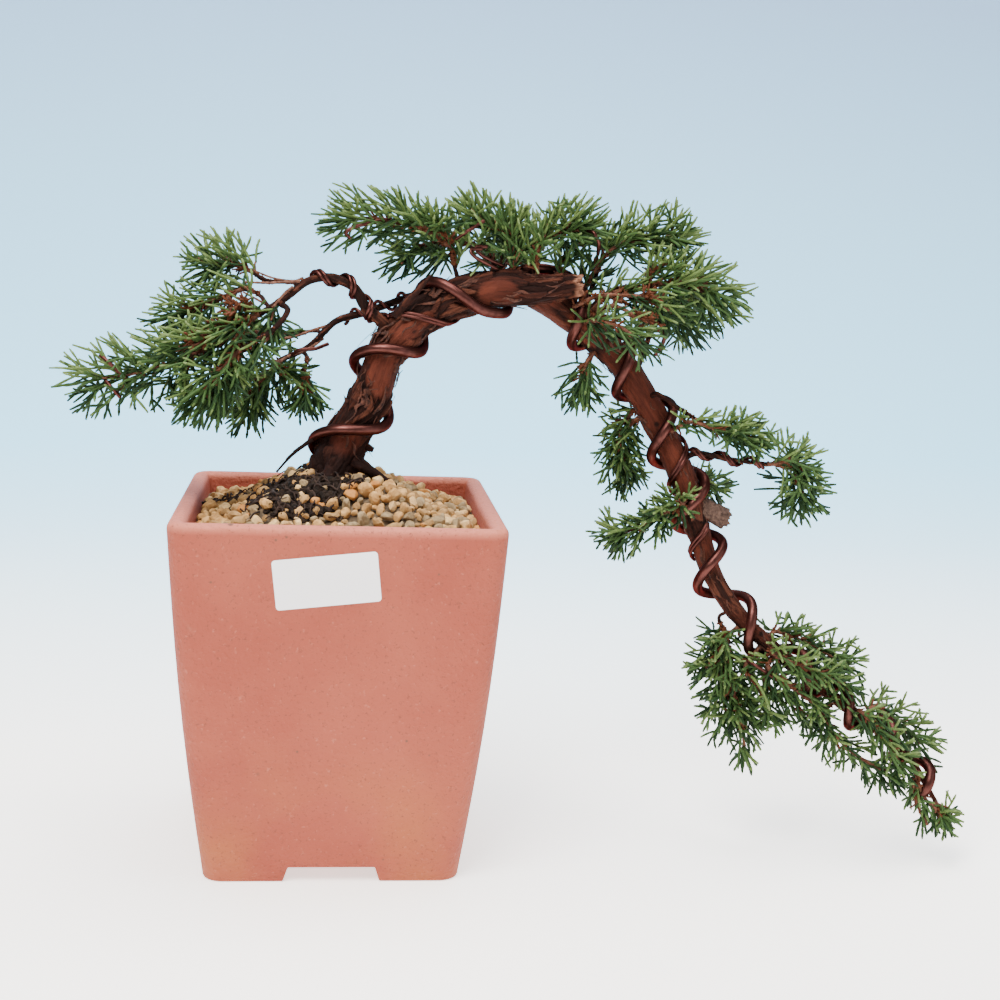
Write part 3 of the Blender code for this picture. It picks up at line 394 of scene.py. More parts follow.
class Plates:
    """Long irregular plates, as bark splits into, on a lattice that closes round the limb."""

    def __init__(self, seed: int, cells: int, rows: int) -> None:
        """Deals each plate's place and height."""
        rng = np.random.default_rng(seed)
        self.jitter = rng.uniform(0.1, 0.9, (cells, rows, 2))
        self.value = rng.random((cells, rows))

    def at(self, across: Array, along: Array) -> tuple[Array, Array, Array]:
        """What plate lies at each place.

        Args:
            across: Place round the limb, in cells.
            along: Place along the limb, in cells.

        Returns:
            The plate's random value, the distance to its edge in cells, and the run along it.
        """
        cells, rows = self.value.shape
        base_u, base_v = np.floor(across), np.floor(along)
        first = np.full(across.shape, 9.0)
        second = np.full(across.shape, 9.0)
        value = np.zeros(across.shape)
        run = np.zeros(across.shape)
        for du in (-1, 0, 1):
            for dv in (-1, 0, 1):
                i, j = base_u + du, base_v + dv
                row, column = i.astype(int) % cells, j.astype(int) % rows
                off_u = i + self.jitter[row, column, 0] - across
                off_v = j + self.jitter[row, column, 1] - along
                distance = np.hypot(off_u, off_v)
                nearer = distance < first
                second = np.where(nearer, first, np.minimum(second, distance))
                value = np.where(nearer, self.value[row, column], value)
                run = np.where(nearer, -off_v, run)
                first = np.where(nearer, distance, first)
        return value, second - first, run


# ---------------------------------------------------------------- meshes


class Shape:
    """Points and faces gathered into one mesh, with a material number for each face."""

    def __init__(self, middle: Vector) -> None:
        """Starts empty, for points measured from the middle of the pot's foot."""
        self.middle = np.array(middle)
        self.points: list[Array] = []
        self.faces: list[tuple[Array, Array]] = []
        self.values: dict[str, list[Array]] = {}
        self.count = 0

    def add(self, points: Array, faces: Array, slots: Array | int = 0, **values: Array) -> None:
        """Adds points with their faces, all of one size, and any values that the points carry."""
        slots = np.broadcast_to(slots, len(faces))
        self.points.append(points.reshape(-1, 3) + self.middle)
        self.faces.append((faces + self.count, slots))
        for name, value in values.items():
            self.values.setdefault(name, []).append(np.ravel(value))
        self.count += len(self.points[-1])

    def add_faces(self, faces: Array, slots: Array | int = 0) -> None:
        """Adds more faces on points added already, numbered from the first point of all."""
        self.faces.append((faces, np.broadcast_to(slots, len(faces))))

    def add_tube(self, grid: Array, slots: Array | int = 0, **values: Array) -> None:
        """Adds a closed tube skinned over rings, with its two ends capped."""
        rings, sides = grid.shape[:2]
        start = self.count
        self.add(grid, ring_faces(rings, sides), slots, **values)
        ends = np.array([np.arange(sides)[::-1], (rings - 1) * sides + np.arange(sides)])
        flat = np.broadcast_to(slots, (rings - 1) * sides)
        self.add_faces(ends + start, np.array([flat[0], flat[-1]]))

    def build(self, name: str, materials: Sequence[Material], facets: bool = False) -> Object:
        """Makes the mesh object, shaded smooth or in facets."""
        mesh = bpy.data.meshes.new(name)
        points = np.concatenate(self.points)
        loops = np.concatenate([faces.ravel() for faces, _ in self.faces])
        sizes = np.concatenate([np.full(len(faces), faces.shape[1]) for faces, _ in self.faces])
        mesh.vertices.add(len(points))
        mesh.vertices.foreach_set("co", points.astype(np.float32).ravel())
        mesh.loops.add(len(loops))
        mesh.loops.foreach_set("vertex_index", loops.astype(np.int32))
        mesh.polygons.add(len(sizes))
        starts = np.concatenate([[0], np.cumsum(sizes)[:-1]])
        mesh.polygons.foreach_set("loop_start", starts.astype(np.int32))
        slots = np.concatenate([slots for _, slots in self.faces])
        mesh.polygons.foreach_set("material_index", slots.astype(np.int32))
        mesh.polygons.foreach_set("use_smooth", np.full(len(sizes), not facets))
        for material in materials:
            mesh.materials.append(material)
        mesh.update(calc_edges=True)
        for key, value in self.values.items():
            attribute = mesh.attributes.new(key, "FLOAT", "POINT")
            attribute.data.foreach_set("value", np.concatenate(value).astype(np.float32))
        made = bpy.data.objects.new(name, mesh)
        bpy.context.scene.collection.objects.link(made)
        return made


def ring_faces(rings: int, sides: int) -> Array:
    """Four-sided faces between rings of points."""
    ring = (np.arange(rings - 1) * sides)[:, None]
    side = np.arange(sides)[None, :]
    following = (side + 1) % sides
    corners = [ring + side, ring + following, ring + sides + following, ring + sides + side]
    return np.stack(np.broadcast_arrays(*corners), axis=-1).reshape(-1, 4)


def settle(piece: Object, replaces: Sequence[str] = ()) -> Object:
    """Gives a finished piece its body, and hides the solids that it stands for."""
    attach(piece, BODY)
    if replaces:
        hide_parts(*replaces)
    LOG.info("%s: %d faces", piece.name, len(piece.data.polygons))
    return piece


# ---------------------------------------------------------------- finishes


class Graph:
    """A material under construction."""

    def __init__(self, name: str) -> None:
        """Starts a Principled material."""
        self.material = bpy.data.materials.new(name)
        self.material.use_nodes = True
        self.tree = self.material.node_tree
        self.shader = self.tree.nodes["Principled BSDF"]
        self.place = self.add("ShaderNodeTexCoord").outputs["Object"]

    def add(self, kind: str, inputs: dict | None = None, **settings: object) -> bpy.types.Node:
        """A node with its settings, and its inputs by name or number as values or sockets."""
        node = self.tree.nodes.new(kind)
        for key, value in settings.items():
            setattr(node, key, value)
        for key, value in (inputs or {}).items():
            self.plug(node.inputs[key], value)
        return node

    def plug(self, socket: Socket, value: object) -> None:
        """Links another node's output to an input, or sets it to a colour or number."""
        if isinstance(value, Socket):
            self.tree.links.new(value, socket)
        else:
            socket.default_value = (*value, 1.0) if isinstance(value, tuple) else value

    def axis(self, name: str) -> Socket:
        """One coordinate of the place."""
        return self.add("ShaderNodeSeparateXYZ", {0: self.place}).outputs[name]

    def noise(self, scale: float, detail: float = 3.0, place: Socket | None = None,
              roughness: float = 0.55) -> Socket:
        """Noise from 0 to 1, with a scale in cells for each metre."""
        inputs = {"Vector": place or self.place, "Scale": scale, "Detail": detail, "Roughness": roughness}
        return self.add("ShaderNodeTexNoise", inputs).outputs["Fac"]

    def spots(self, scale: float, edge: Sequence[float], rarity: Sequence[float]) -> Socket:
        """Round spots in a few of the cells that a place is split into, as values from 0 to 1."""
        cells = self.add("ShaderNodeTexVoronoi", {"Vector": self.place, "Scale": scale})
        spot = self.level(cells.outputs["Distance"], *edge)
        return self.maths("MULTIPLY", spot, self.level(cells.outputs["Color"], *rarity))

    def attribute(self, name: str) -> Socket:
        """A value that the mesh's points carry."""
        return self.add("ShaderNodeAttribute", attribute_name=name).outputs["Fac"]

    def ramp(self, factor: Socket, stops: Sequence[tuple[float, Colour]]) -> Socket:
        """A colour read from stops."""
        node = self.add("ShaderNodeValToRGB", {"Fac": factor})
        band = node.color_ramp
        for position, colour in stops[2:]:
            band.elements.new(position)
        for element, (position, colour) in zip(band.elements, stops):
            element.position = position
            element.color = (*colour, 1.0)
        return node.outputs["Color"]

    def level(self, factor: Socket, low: float, high: float, start: float = 0.0,
              end: float = 1.0) -> Socket:
        """A value mapped from one range to another and held within it."""
        inputs = {"Value": factor, "From Min": low, "From Max": high, "To Min": start, "To Max": end}
        return self.add("ShaderNodeMapRange", inputs).outputs["Result"]

    def mix(self, factor: object, first: object, second: object) -> Socket:
        """Two colours mixed."""
        node = self.add("ShaderNodeMix", data_type="RGBA")
        for number, value in ((0, factor), (6, first), (7, second)):
            self.plug(node.inputs[number], value)
        return node.outputs[2]

    def maths(self, operation: str, first: object, second: object) -> Socket:
        """One sum on two values."""
        return self.add("ShaderNodeMath", {0: first, 1: second}, operation=operation).outputs[0]

    def bump(self, height: Socket, distance: float, strength: float = 1.0,
             under: Socket | None = None) -> Socket:
        """A bumped normal, on another one where given."""
        inputs = {"Height": height, "Distance": distance, "Strength": strength}
        if under is not None:
            inputs["Normal"] = under
        return self.add("ShaderNodeBump", inputs).outputs["Normal"]

    def finish(self, **sockets: object) -> Material:
        """Sets the shader's inputs, given with underscores for spaces."""
        for key, value in sockets.items():
            self.plug(self.shader.inputs[key.replace("_", " ")], value)
        return self.material


@dataclass(frozen=True)
class Clay:
    """Unglazed clay: fine sand, faint mottling, pin holes darkened with painted shade, a warmer patch of
    painted bounce light low down, and a rim top lightened partly by wear and partly as painted highlight.
    """

    base: Colour = (0.275, 0.052, 0.027)
    pale: Colour = (0.325, 0.071, 0.038)
    # lighter colour painted low on the pot as bounce light
    bounce_light: Colour = (0.350, 0.100, 0.030)
    # the rim's top: partly wear, partly painted highlight from above
    worn_lit_rim: Colour = (0.540, 0.170, 0.108)
    grain: Colour = (0.44, 0.150, 0.095)
    # pore and pit: painted shade in the pin holes
    pore: Colour = (0.15, 0.034, 0.019)
    pit: Colour = (0.13, 0.05, 0.03)
    stain: Colour = (0.34, 0.15, 0.10)

    def make(self, name: str) -> Material:
        """Builds the material."""
        graph = Graph(name)
        cloud = graph.noise(22.0, 4.0)
        colour = graph.mix(graph.level(cloud, 0.35, 0.7), self.base, self.pale)
        height = graph.axis("Z")
        # Painted bounce light: patches of a lighter, warmer colour low on the pot.
        low = graph.level(height, 0.075, 0.015)
        patch = graph.maths("MULTIPLY", low, graph.level(graph.noise(14.0, 3.0), 0.42, 0.62))
        colour = graph.mix(graph.maths("MULTIPLY", patch, 0.75), colour, self.bounce_light)
        # Lightens the top of the rim: partly wear, partly a painted highlight where light falls from above.
        worn = graph.level(height, 0.1655, 0.1690, 0.0, 0.75)
        colour = graph.mix(worn, colour, self.worn_lit_rim)
        sand = graph.noise(480.0, 3.0)
        colour = graph.mix(graph.level(sand, 0.62, 0.75, 0.0, 0.45), colour, self.grain)
        # Painted shade in pin holes: dark pores and small dark pits.
        pores = graph.noise(620.0, 3.0, roughness=0.7)
        colour = graph.mix(graph.level(pores, 0.42, 0.30, 0.0, 0.75), colour, self.pore)
        colour = graph.mix(graph.spots(46.0, (0.075, 0.045), (0.70, 0.72)), colour, self.pit)
        colour = graph.mix(graph.spots(150.0, (0.12, 0.06), (0.74, 0.76)), colour, self.pit)
        stain = graph.level(graph.noise(60.0, 5.0, roughness=0.7), 0.66, 0.76, 0.0, 0.25)
        colour = graph.mix(stain, colour, self.stain)
        grit = graph.bump(sand, 0.0009, 1.0)
        relief = graph.bump(graph.noise(160.0, 3.0), 0.0006, 0.45, grit)
        return graph.finish(Base_Color=colour, Roughness=0.72, Normal=relief, Specular_IOR_Level=0.35)


@dataclass(frozen=True)
class Grit:
    """A dusty grain or soil, mottled between two colours."""

    dark: Colour
    light: Colour

    def make(self, name: str) -> Material:
        """Builds the material."""
        graph = Graph(name)
        colour = graph.mix(graph.level(graph.noise(260.0, 4.0), 0.35, 0.65), self.dark, self.light)
        relief = graph.bump(graph.noise(900.0, 4.0, roughness=0.7), 0.0004, 0.8)
        return graph.finish(Base_Color=colour, Roughness=0.9, Normal=relief, Specular_IOR_Level=0.20)


@dataclass(frozen=True)
class BarkFinish:
    """Fibrous bark: red-brown inner bark, tan peeling plates, dark leaf scars, and painted shade in the
    cracks and fibre grooves, by the mesh's values.
    """

    # colour of the painted shade in the cracks and grooves
    crack: Colour = (0.004, 0.0015, 0.001)
    inner: Colour = (0.012, 0.0032, 0.0018)
    plate: Colour = (0.036, 0.0090, 0.0047)
    weathered: Colour = (0.082, 0.0260, 0.0140)
    bare: Colour = (0.122, 0.0285, 0.0152)
    cut: Colour = (0.340, 0.150, 0.090)
    # colour of the dark leaf scars, of the painted shade in the fibre grooves, and of the darkening at the
    # foot
    scar_and_groove_shade: Colour = (0.010, 0.0035, 0.0025)

    def make(self, name: str) -> Material:
        """Builds the material."""
        graph = Graph(name)
        along = graph.maths("MULTIPLY", graph.attribute("run"), 0.11)
        inputs = {0: graph.attribute("east"), 1: graph.attribute("north"), 2: along}
        grain = graph.add("ShaderNodeCombineXYZ", inputs).outputs[0]
        fibre = graph.noise(620.0, 6.0, grain, 0.68)
        strand = graph.noise(210.0, 4.0, grain, 0.6)
        tone = graph.maths("ADD", graph.attribute("plate"), graph.level(fibre, 0.3, 0.7, -0.26, 0.26))
        stops = [(0.0, self.inner), (0.34, self.inner), (0.78, self.plate), (1.0, self.weathered)]
        colour = graph.ramp(tone, stops)
        skin = graph.mix(graph.level(strand, 0.36, 0.66), tuple(v * 0.45 for v in self.bare), self.bare)
        colour = graph.mix(graph.attribute("bare"), colour, skin)
        # Painted shade in the fibre grooves, where the fibre relief is low.
        colour = graph.mix(graph.level(fibre, 0.50, 0.28, 0.0, 0.75), colour, self.scar_and_groove_shade)
        colour = graph.mix(graph.spots(170.0, (0.30, 0.14), (0.66, 0.70)), colour, self.scar_and_groove_shade)
        # Painted shade in the cracks, by the mesh's crack value.
        colour = graph.mix(graph.attribute("crack"), colour, self.crack)
        colour = graph.mix(graph.attribute("cut"), colour, self.cut)
        # Darker at the trunk's foot, on the roots in the soil and in a raised band.
        colour = graph.mix(graph.attribute("darkening"), colour, self.scar_and_groove_shade)
        relief = graph.bump(fibre, 0.0009, 0.9)
        relief = graph.bump(graph.noise(1500.0, 3.0), 0.0002, 0.6, relief)
        return graph.finish(Base_Color=colour, Roughness=0.80, Normal=relief, Specular_IOR_Level=0.12)


@dataclass(frozen=True)
class WoodFinish:
    """Plain wood or thin bark, streaked between two colours."""

    dark: Colour
    light: Colour

    def make(self, name: str) -> Material:
        """Builds the material."""
        graph = Graph(name)
        streak = graph.noise(500.0, 4.0, roughness=0.65)
        colour = graph.mix(graph.level(streak, 0.36, 0.64), self.dark, self.light)
        relief = graph.bump(streak, 0.0004, 0.8)
        return graph.finish(Base_Color=colour, Roughness=0.85, Normal=relief, Specular_IOR_Level=0.3)


@dataclass(frozen=True)
class WireFinish:
    """Copper-brown anodised aluminium: satin metal with fine draw lines and dull handling marks."""

    base: Colour = (0.084, 0.030, 0.025)
    dull: Colour = (0.044, 0.016, 0.014)

    def make(self, name: str) -> Material:
        """Builds the material."""
        graph = Graph(name)
        marks = graph.noise(180.0, 5.0, roughness=0.65)
        colour = graph.mix(graph.level(marks, 0.45, 0.70), self.base, self.dull)
        rough = graph.level(marks, 0.35, 0.70, 0.32, 0.46)
        relief = graph.bump(graph.noise(2400.0, 2.0), 0.00005, 0.5)
        return graph.finish(Base_Color=colour, Metallic=0.95, Roughness=rough, Normal=relief,
                            Specular_Tint=(0.42, 0.23, 0.20))


@dataclass(frozen=True)
class LeafFinish:
    """Scale leaves: one plain green, finely overlapped, with a waxy sheen."""

    green: Colour

    def make(self, name: str) -> Material:
        """Builds the material."""
        graph = Graph(name)
        shadow = tuple(value * 0.80 for value in self.green)
        scales = graph.noise(1100.0, 2.0)
        colour = graph.mix(graph.level(scales, 0.35, 0.60), shadow, self.green)
        relief = graph.bump(scales, 0.0003, 0.7)
        return graph.finish(Base_Color=colour, Roughness=0.55, Normal=relief, Specular_IOR_Level=0.12)


@dataclass(frozen=True)
class PaperFinish:
    """A blank stock label: off-white satin paper."""

    base: Colour = (0.90, 0.87, 0.88)

    def make(self, name: str) -> Material:
        """Builds the material."""
        graph = Graph(name)
        fibres = graph.noise(1400.0, 3.0)
        colour = graph.mix(graph.level(fibres, 0.3, 0.7), self.base, tuple(v * 0.96 for v in self.base))
        relief = graph.bump(fibres, 0.00003, 0.5)
        return graph.finish(Base_Color=colour, Roughness=0.42, Normal=relief)


@dataclass(frozen=True)
class BackdropFinish:
    """The studio's paper: white underfoot, pale blue higher up, with a little light of its own."""

    floor: Colour = (1.0, 0.96, 0.91)
    haze: Colour = (0.36, 0.76, 0.98)
    wall: Colour = (0.25, 0.39, 0.56)
    glow: float = 1.45

    def make(self, name: str) -> Material:
        """Builds the material."""
        graph = Graph(name)
        colour = graph.mix(graph.level(graph.axis("Y"), 0.10, 1.00), self.floor, self.haze)
        colour = graph.mix(graph.level(graph.axis("Z"), 0.05, 0.65), colour, self.wall)
        return graph.finish(Base_Color=colour, Emission_Color=colour, Emission_Strength=self.glow,
                            Roughness=0.9)


class Green(Enum):
    """The greens of the shoots, numbered as their material slots are: a darker copy of the leaf green
    painted as shade, the leaf green, two lighter greens that are partly paler new growth and partly painted
    light, and the dead brown.
    """

    DEEP = 0
    LEAF = 1
    FRESH_LIT = 2
    TIP = 3
    DEAD = 4


# The darkest green is painted shade for inner and lower shoots; the two lightest are partly paler new
# growth and partly painted light.
GREENS = {
    Green.DEEP: LeafFinish((0.013, 0.034, 0.010)),
    Green.LEAF: LeafFinish((0.041, 0.081, 0.022)),
    Green.FRESH_LIT: LeafFinish((0.094, 0.145, 0.040)),
    Green.TIP: LeafFinish((0.135, 0.192, 0.064)),
    Green.DEAD: LeafFinish((0.105, 0.032, 0.014)),
}

# Grains of gravel: the share of each kind, and its finish.
GRAINS = [
    (0.36, Grit((0.34, 0.172, 0.056), (0.62, 0.36, 0.138))),
    (0.22, Grit((0.44, 0.250, 0.097), (0.75, 0.50, 0.228))),
    (0.22, Grit((0.23, 0.122, 0.043), (0.43, 0.253, 0.101))),
    (0.06, Grit((0.39, 0.150, 0.036), (0.55, 0.25, 0.071))),
    (0.14, Grit((0.18, 0.117, 0.058), (0.34, 0.242, 0.128))),
]


# ---------------------------------------------------------------- pot and soil


def select_where(made: Object, test: Callable[[Vector], bool], kind: str = "VERT") -> None:
    """In edit mode, selects the vertices, edges or faces whose points all pass a test."""
    bpy.ops.mesh.select_mode(type=kind)
    bpy.ops.mesh.select_all(action="DESELECT")
    shape = bmesh.from_edit_mesh(made.data)
    elements = {"VERT": shape.verts, "EDGE": shape.edges, "FACE": shape.faces}[kind]
    for element in elements:
        points = [element.co] if kind == "VERT" else [vert.co for vert in element.verts]
        if all(test(point) for point in points):
            element.select_set(True)
    shape.select_flush_mode()
    bmesh.update_edit_mesh(made.data)


def apply_modifier(made: Object, kind: str, **settings: object) -> None:
    """Adds a modifier with its settings to an object, and applies it."""
    bpy.context.view_layer.objects.active = made
    modifier = made.modifiers.new(kind.lower(), kind)
    for key, value in settings.items():
        setattr(modifier, key, value)
    bpy.ops.object.modifier_apply(modifier=modifier.name)


def cut(made: Object, cutter: Object) -> None:
    """Cuts one object with another, which is then removed."""
    apply_modifier(made, "BOOLEAN", operation="DIFFERENCE", object=cutter)
    bpy.data.objects.remove(cutter)


@dataclass
class Pot:
    """The square pot, modelled at the middle of the scene and then moved to its place."""

    height: float = 0.170
    foot_half: float = 0.0592
    rim_half: float = 0.0752
    bulge: float = 0.0020
    corner: float = 0.0095
    wall: float = 0.0080
    lip: float = 0.0034
    floor: float = 0.0170
    arch_height: float = 0.0072
    arch_below: float = 0.0490
    arch_above: float = 0.0400
    drain: float = 0.0120
    worn: float = 0.0006
    foot_edge: float = 0.0009
    levels: int = 9

    def half_at(self, height: float) -> float:
        """Half the pot's outer width at a height."""
        share = height / self.height
        straight = self.foot_half + (self.rim_half - self.foot_half) * share
        return straight + self.bulge * math.sin(math.pi * share)

    def build(self, middle: Vector) -> Object:
        """Models the pot and sets it in its place.

        Args:
            middle: The middle of the pot's foot, in the frame.

        Returns:
            The pot.
        """
        bpy.ops.mesh.primitive_cube_add(size=1.0, location=(0.0, 0.0, self.height / 2))
        pot = bpy.context.object
        pot.name = "clay_pot"
        pot.scale = (1.0, 1.0, self.height)
        bpy.ops.object.transform_apply(location=True, scale=True)
        self.raise_walls(pot)
        self.hollow(pot)
        self.soften(pot)
        bpy.ops.object.mode_set(mode="OBJECT")
        self.cut_foot(pot)
        apply_modifier(pot, "BEVEL", width=self.worn, segments=2, limit_method="ANGLE",
                       angle_limit=math.radians(50.0))
        bpy.ops.object.shade_smooth_by_angle(angle=math.radians(32.0))
        pot.data.transform(Matrix.Translation(middle))
        pot.data.materials.append(Clay().make("salmon_clay"))
        return settle(pot, ["pot"])

    def raise_walls(self, pot: Object) -> None:
        """Cuts the block into levels and draws each in or out to the pot's profile."""
        bpy.ops.object.mode_set(mode="EDIT")
        for step in range(1, self.levels):
            bpy.ops.mesh.select_all(action="SELECT")
            height = self.height * step / self.levels
            bpy.ops.mesh.bisect(plane_co=(0.0, 0.0, height), plane_no=(0.0, 0.0, 1.0))
        for step in range(self.levels + 1):
            height = self.height * step / self.levels
            select_where(pot, lambda point: abs(point.z - height) < 1e-5)
            spread = 2 * self.half_at(height)
            bpy.ops.transform.resize(value=(spread, spread, 1.0), center_override=(0.0, 0.0, height))
        bpy.ops.mesh.select_mode(type="EDGE")
        bpy.ops.mesh.select_all(action="DESELECT")
        shape = bmesh.from_edit_mesh(pot.data)
        for edge in shape.edges:
            low, high = edge.verts[0].co, edge.verts[1].co
            edge.select_set(abs(low.z - high.z) > 1e-4)
        bmesh.update_edit_mesh(pot.data)
        bpy.ops.mesh.bevel(offset=self.corner, segments=8, affect="EDGES")

    def hollow(self, pot: Object) -> None:
        """Insets the top face by the wall and draws it down to the pot's floor."""
        select_where(pot, lambda point: point.z > self.height - 1e-5, "FACE")
        bpy.ops.mesh.inset(thickness=self.wall)
        depth = self.height - self.floor
        bpy.ops.mesh.extrude_region_move(TRANSFORM_OT_translate={"value": (0.0, 0.0, -depth)})
        taper = (self.half_at(self.floor) - self.wall) / (self.rim_half - self.wall)
        bpy.ops.transform.resize(value=(taper, taper, 1.0), center_override=(0.0, 0.0, self.floor))

    def soften(self, pot: Object) -> None:
        """Rounds both edges of the lip and the edge of the foot."""
        select_where(pot, lambda point: point.z > self.height - 1e-5, "EDGE")
        shape = bmesh.from_edit_mesh(pot.data)
        for edge in shape.edges:
            level = [face for face in edge.link_faces if face.normal.z > 0.9]
            edge.select_set(edge.select and len(level) == 1)
        bmesh.update_edit_mesh(pot.data)
        bpy.ops.mesh.bevel(offset=self.lip, segments=5, affect="EDGES")
        select_where(pot, lambda point: point.z < 1e-5, "EDGE")
        bpy.ops.mesh.bevel(offset=self.foot_edge, segments=2, affect="EDGES")

    def cut_foot(self, pot: Object) -> None:
        """Opens the arches between the feet, and the drain hole."""
        for quarter in range(2):
            bpy.ops.mesh.primitive_cube_add(size=1.0)
            cutter = bpy.context.object
            cutter.scale = (self.arch_below, 4 * self.rim_half, 2 * self.arch_height)
            cutter.rotation_euler.z = quarter * math.pi / 2
            bpy.ops.object.transform_apply(location=True, rotation=True, scale=True)
            bpy.ops.object.mode_set(mode="EDIT")
            select_where(cutter, lambda point: point.z > 0.0)
            share = self.arch_above / self.arch_below
            across = (share, 1.0, 1.0) if quarter == 0 else (1.0, share, 1.0)
            bpy.ops.transform.resize(value=across, center_override=(0.0, 0.0, 0.0))
            bpy.ops.object.mode_set(mode="OBJECT")
            cut(pot, cutter)
        bpy.ops.mesh.primitive_cylinder_add(vertices=40, radius=self.drain, depth=4 * self.floor)
        cut(pot, bpy.context.object)
        bpy.ops.object.select_all(action="DESELECT")
        pot.select_set(True)


@dataclass
class Label:
    """The blank stock label on the pot's front."""

    across: float = -0.0052
    up: float = 0.1460
    stand_off: float = 0.00004
    width: float = 0.0462
    height: float = 0.0228
    corner: float = 0.0016
    thickness: float = 0.00018
    tilt: float = math.radians(6.4)

    def build(self, pot: Pot, middle: Vector) -> Object:
        """Models the label flat, and then leans it on the wall of the pot."""
        bpy.ops.mesh.primitive_plane_add(size=1.0)
        label = bpy.context.object
        label.name = "stock_label"
        label.scale = (self.width, self.height, 1.0)
        bpy.ops.object.transform_apply(scale=True)
        bpy.ops.object.mode_set(mode="EDIT")
        bpy.ops.mesh.select_all(action="SELECT")
        bpy.ops.mesh.bevel(offset=self.corner, segments=5, affect="VERTICES")
        bpy.ops.object.mode_set(mode="OBJECT")
        apply_modifier(label, "SOLIDIFY", thickness=self.thickness, offset=1.0)
        step = 0.005
        lean = math.atan2(pot.half_at(self.up + step) - pot.half_at(self.up - step), 2 * step)
        stand = Matrix.Rotation(math.pi / 2 + lean, 4, "X") @ Matrix.Rotation(self.tilt, 4, "Z")
        wall = Vector((self.across, -pot.half_at(self.up) - self.stand_off, self.up))
        label.data.transform(Matrix.Translation(middle + wall) @ stand)
        label.data.materials.append(PaperFinish().make("label_paper"))
        return settle(label)


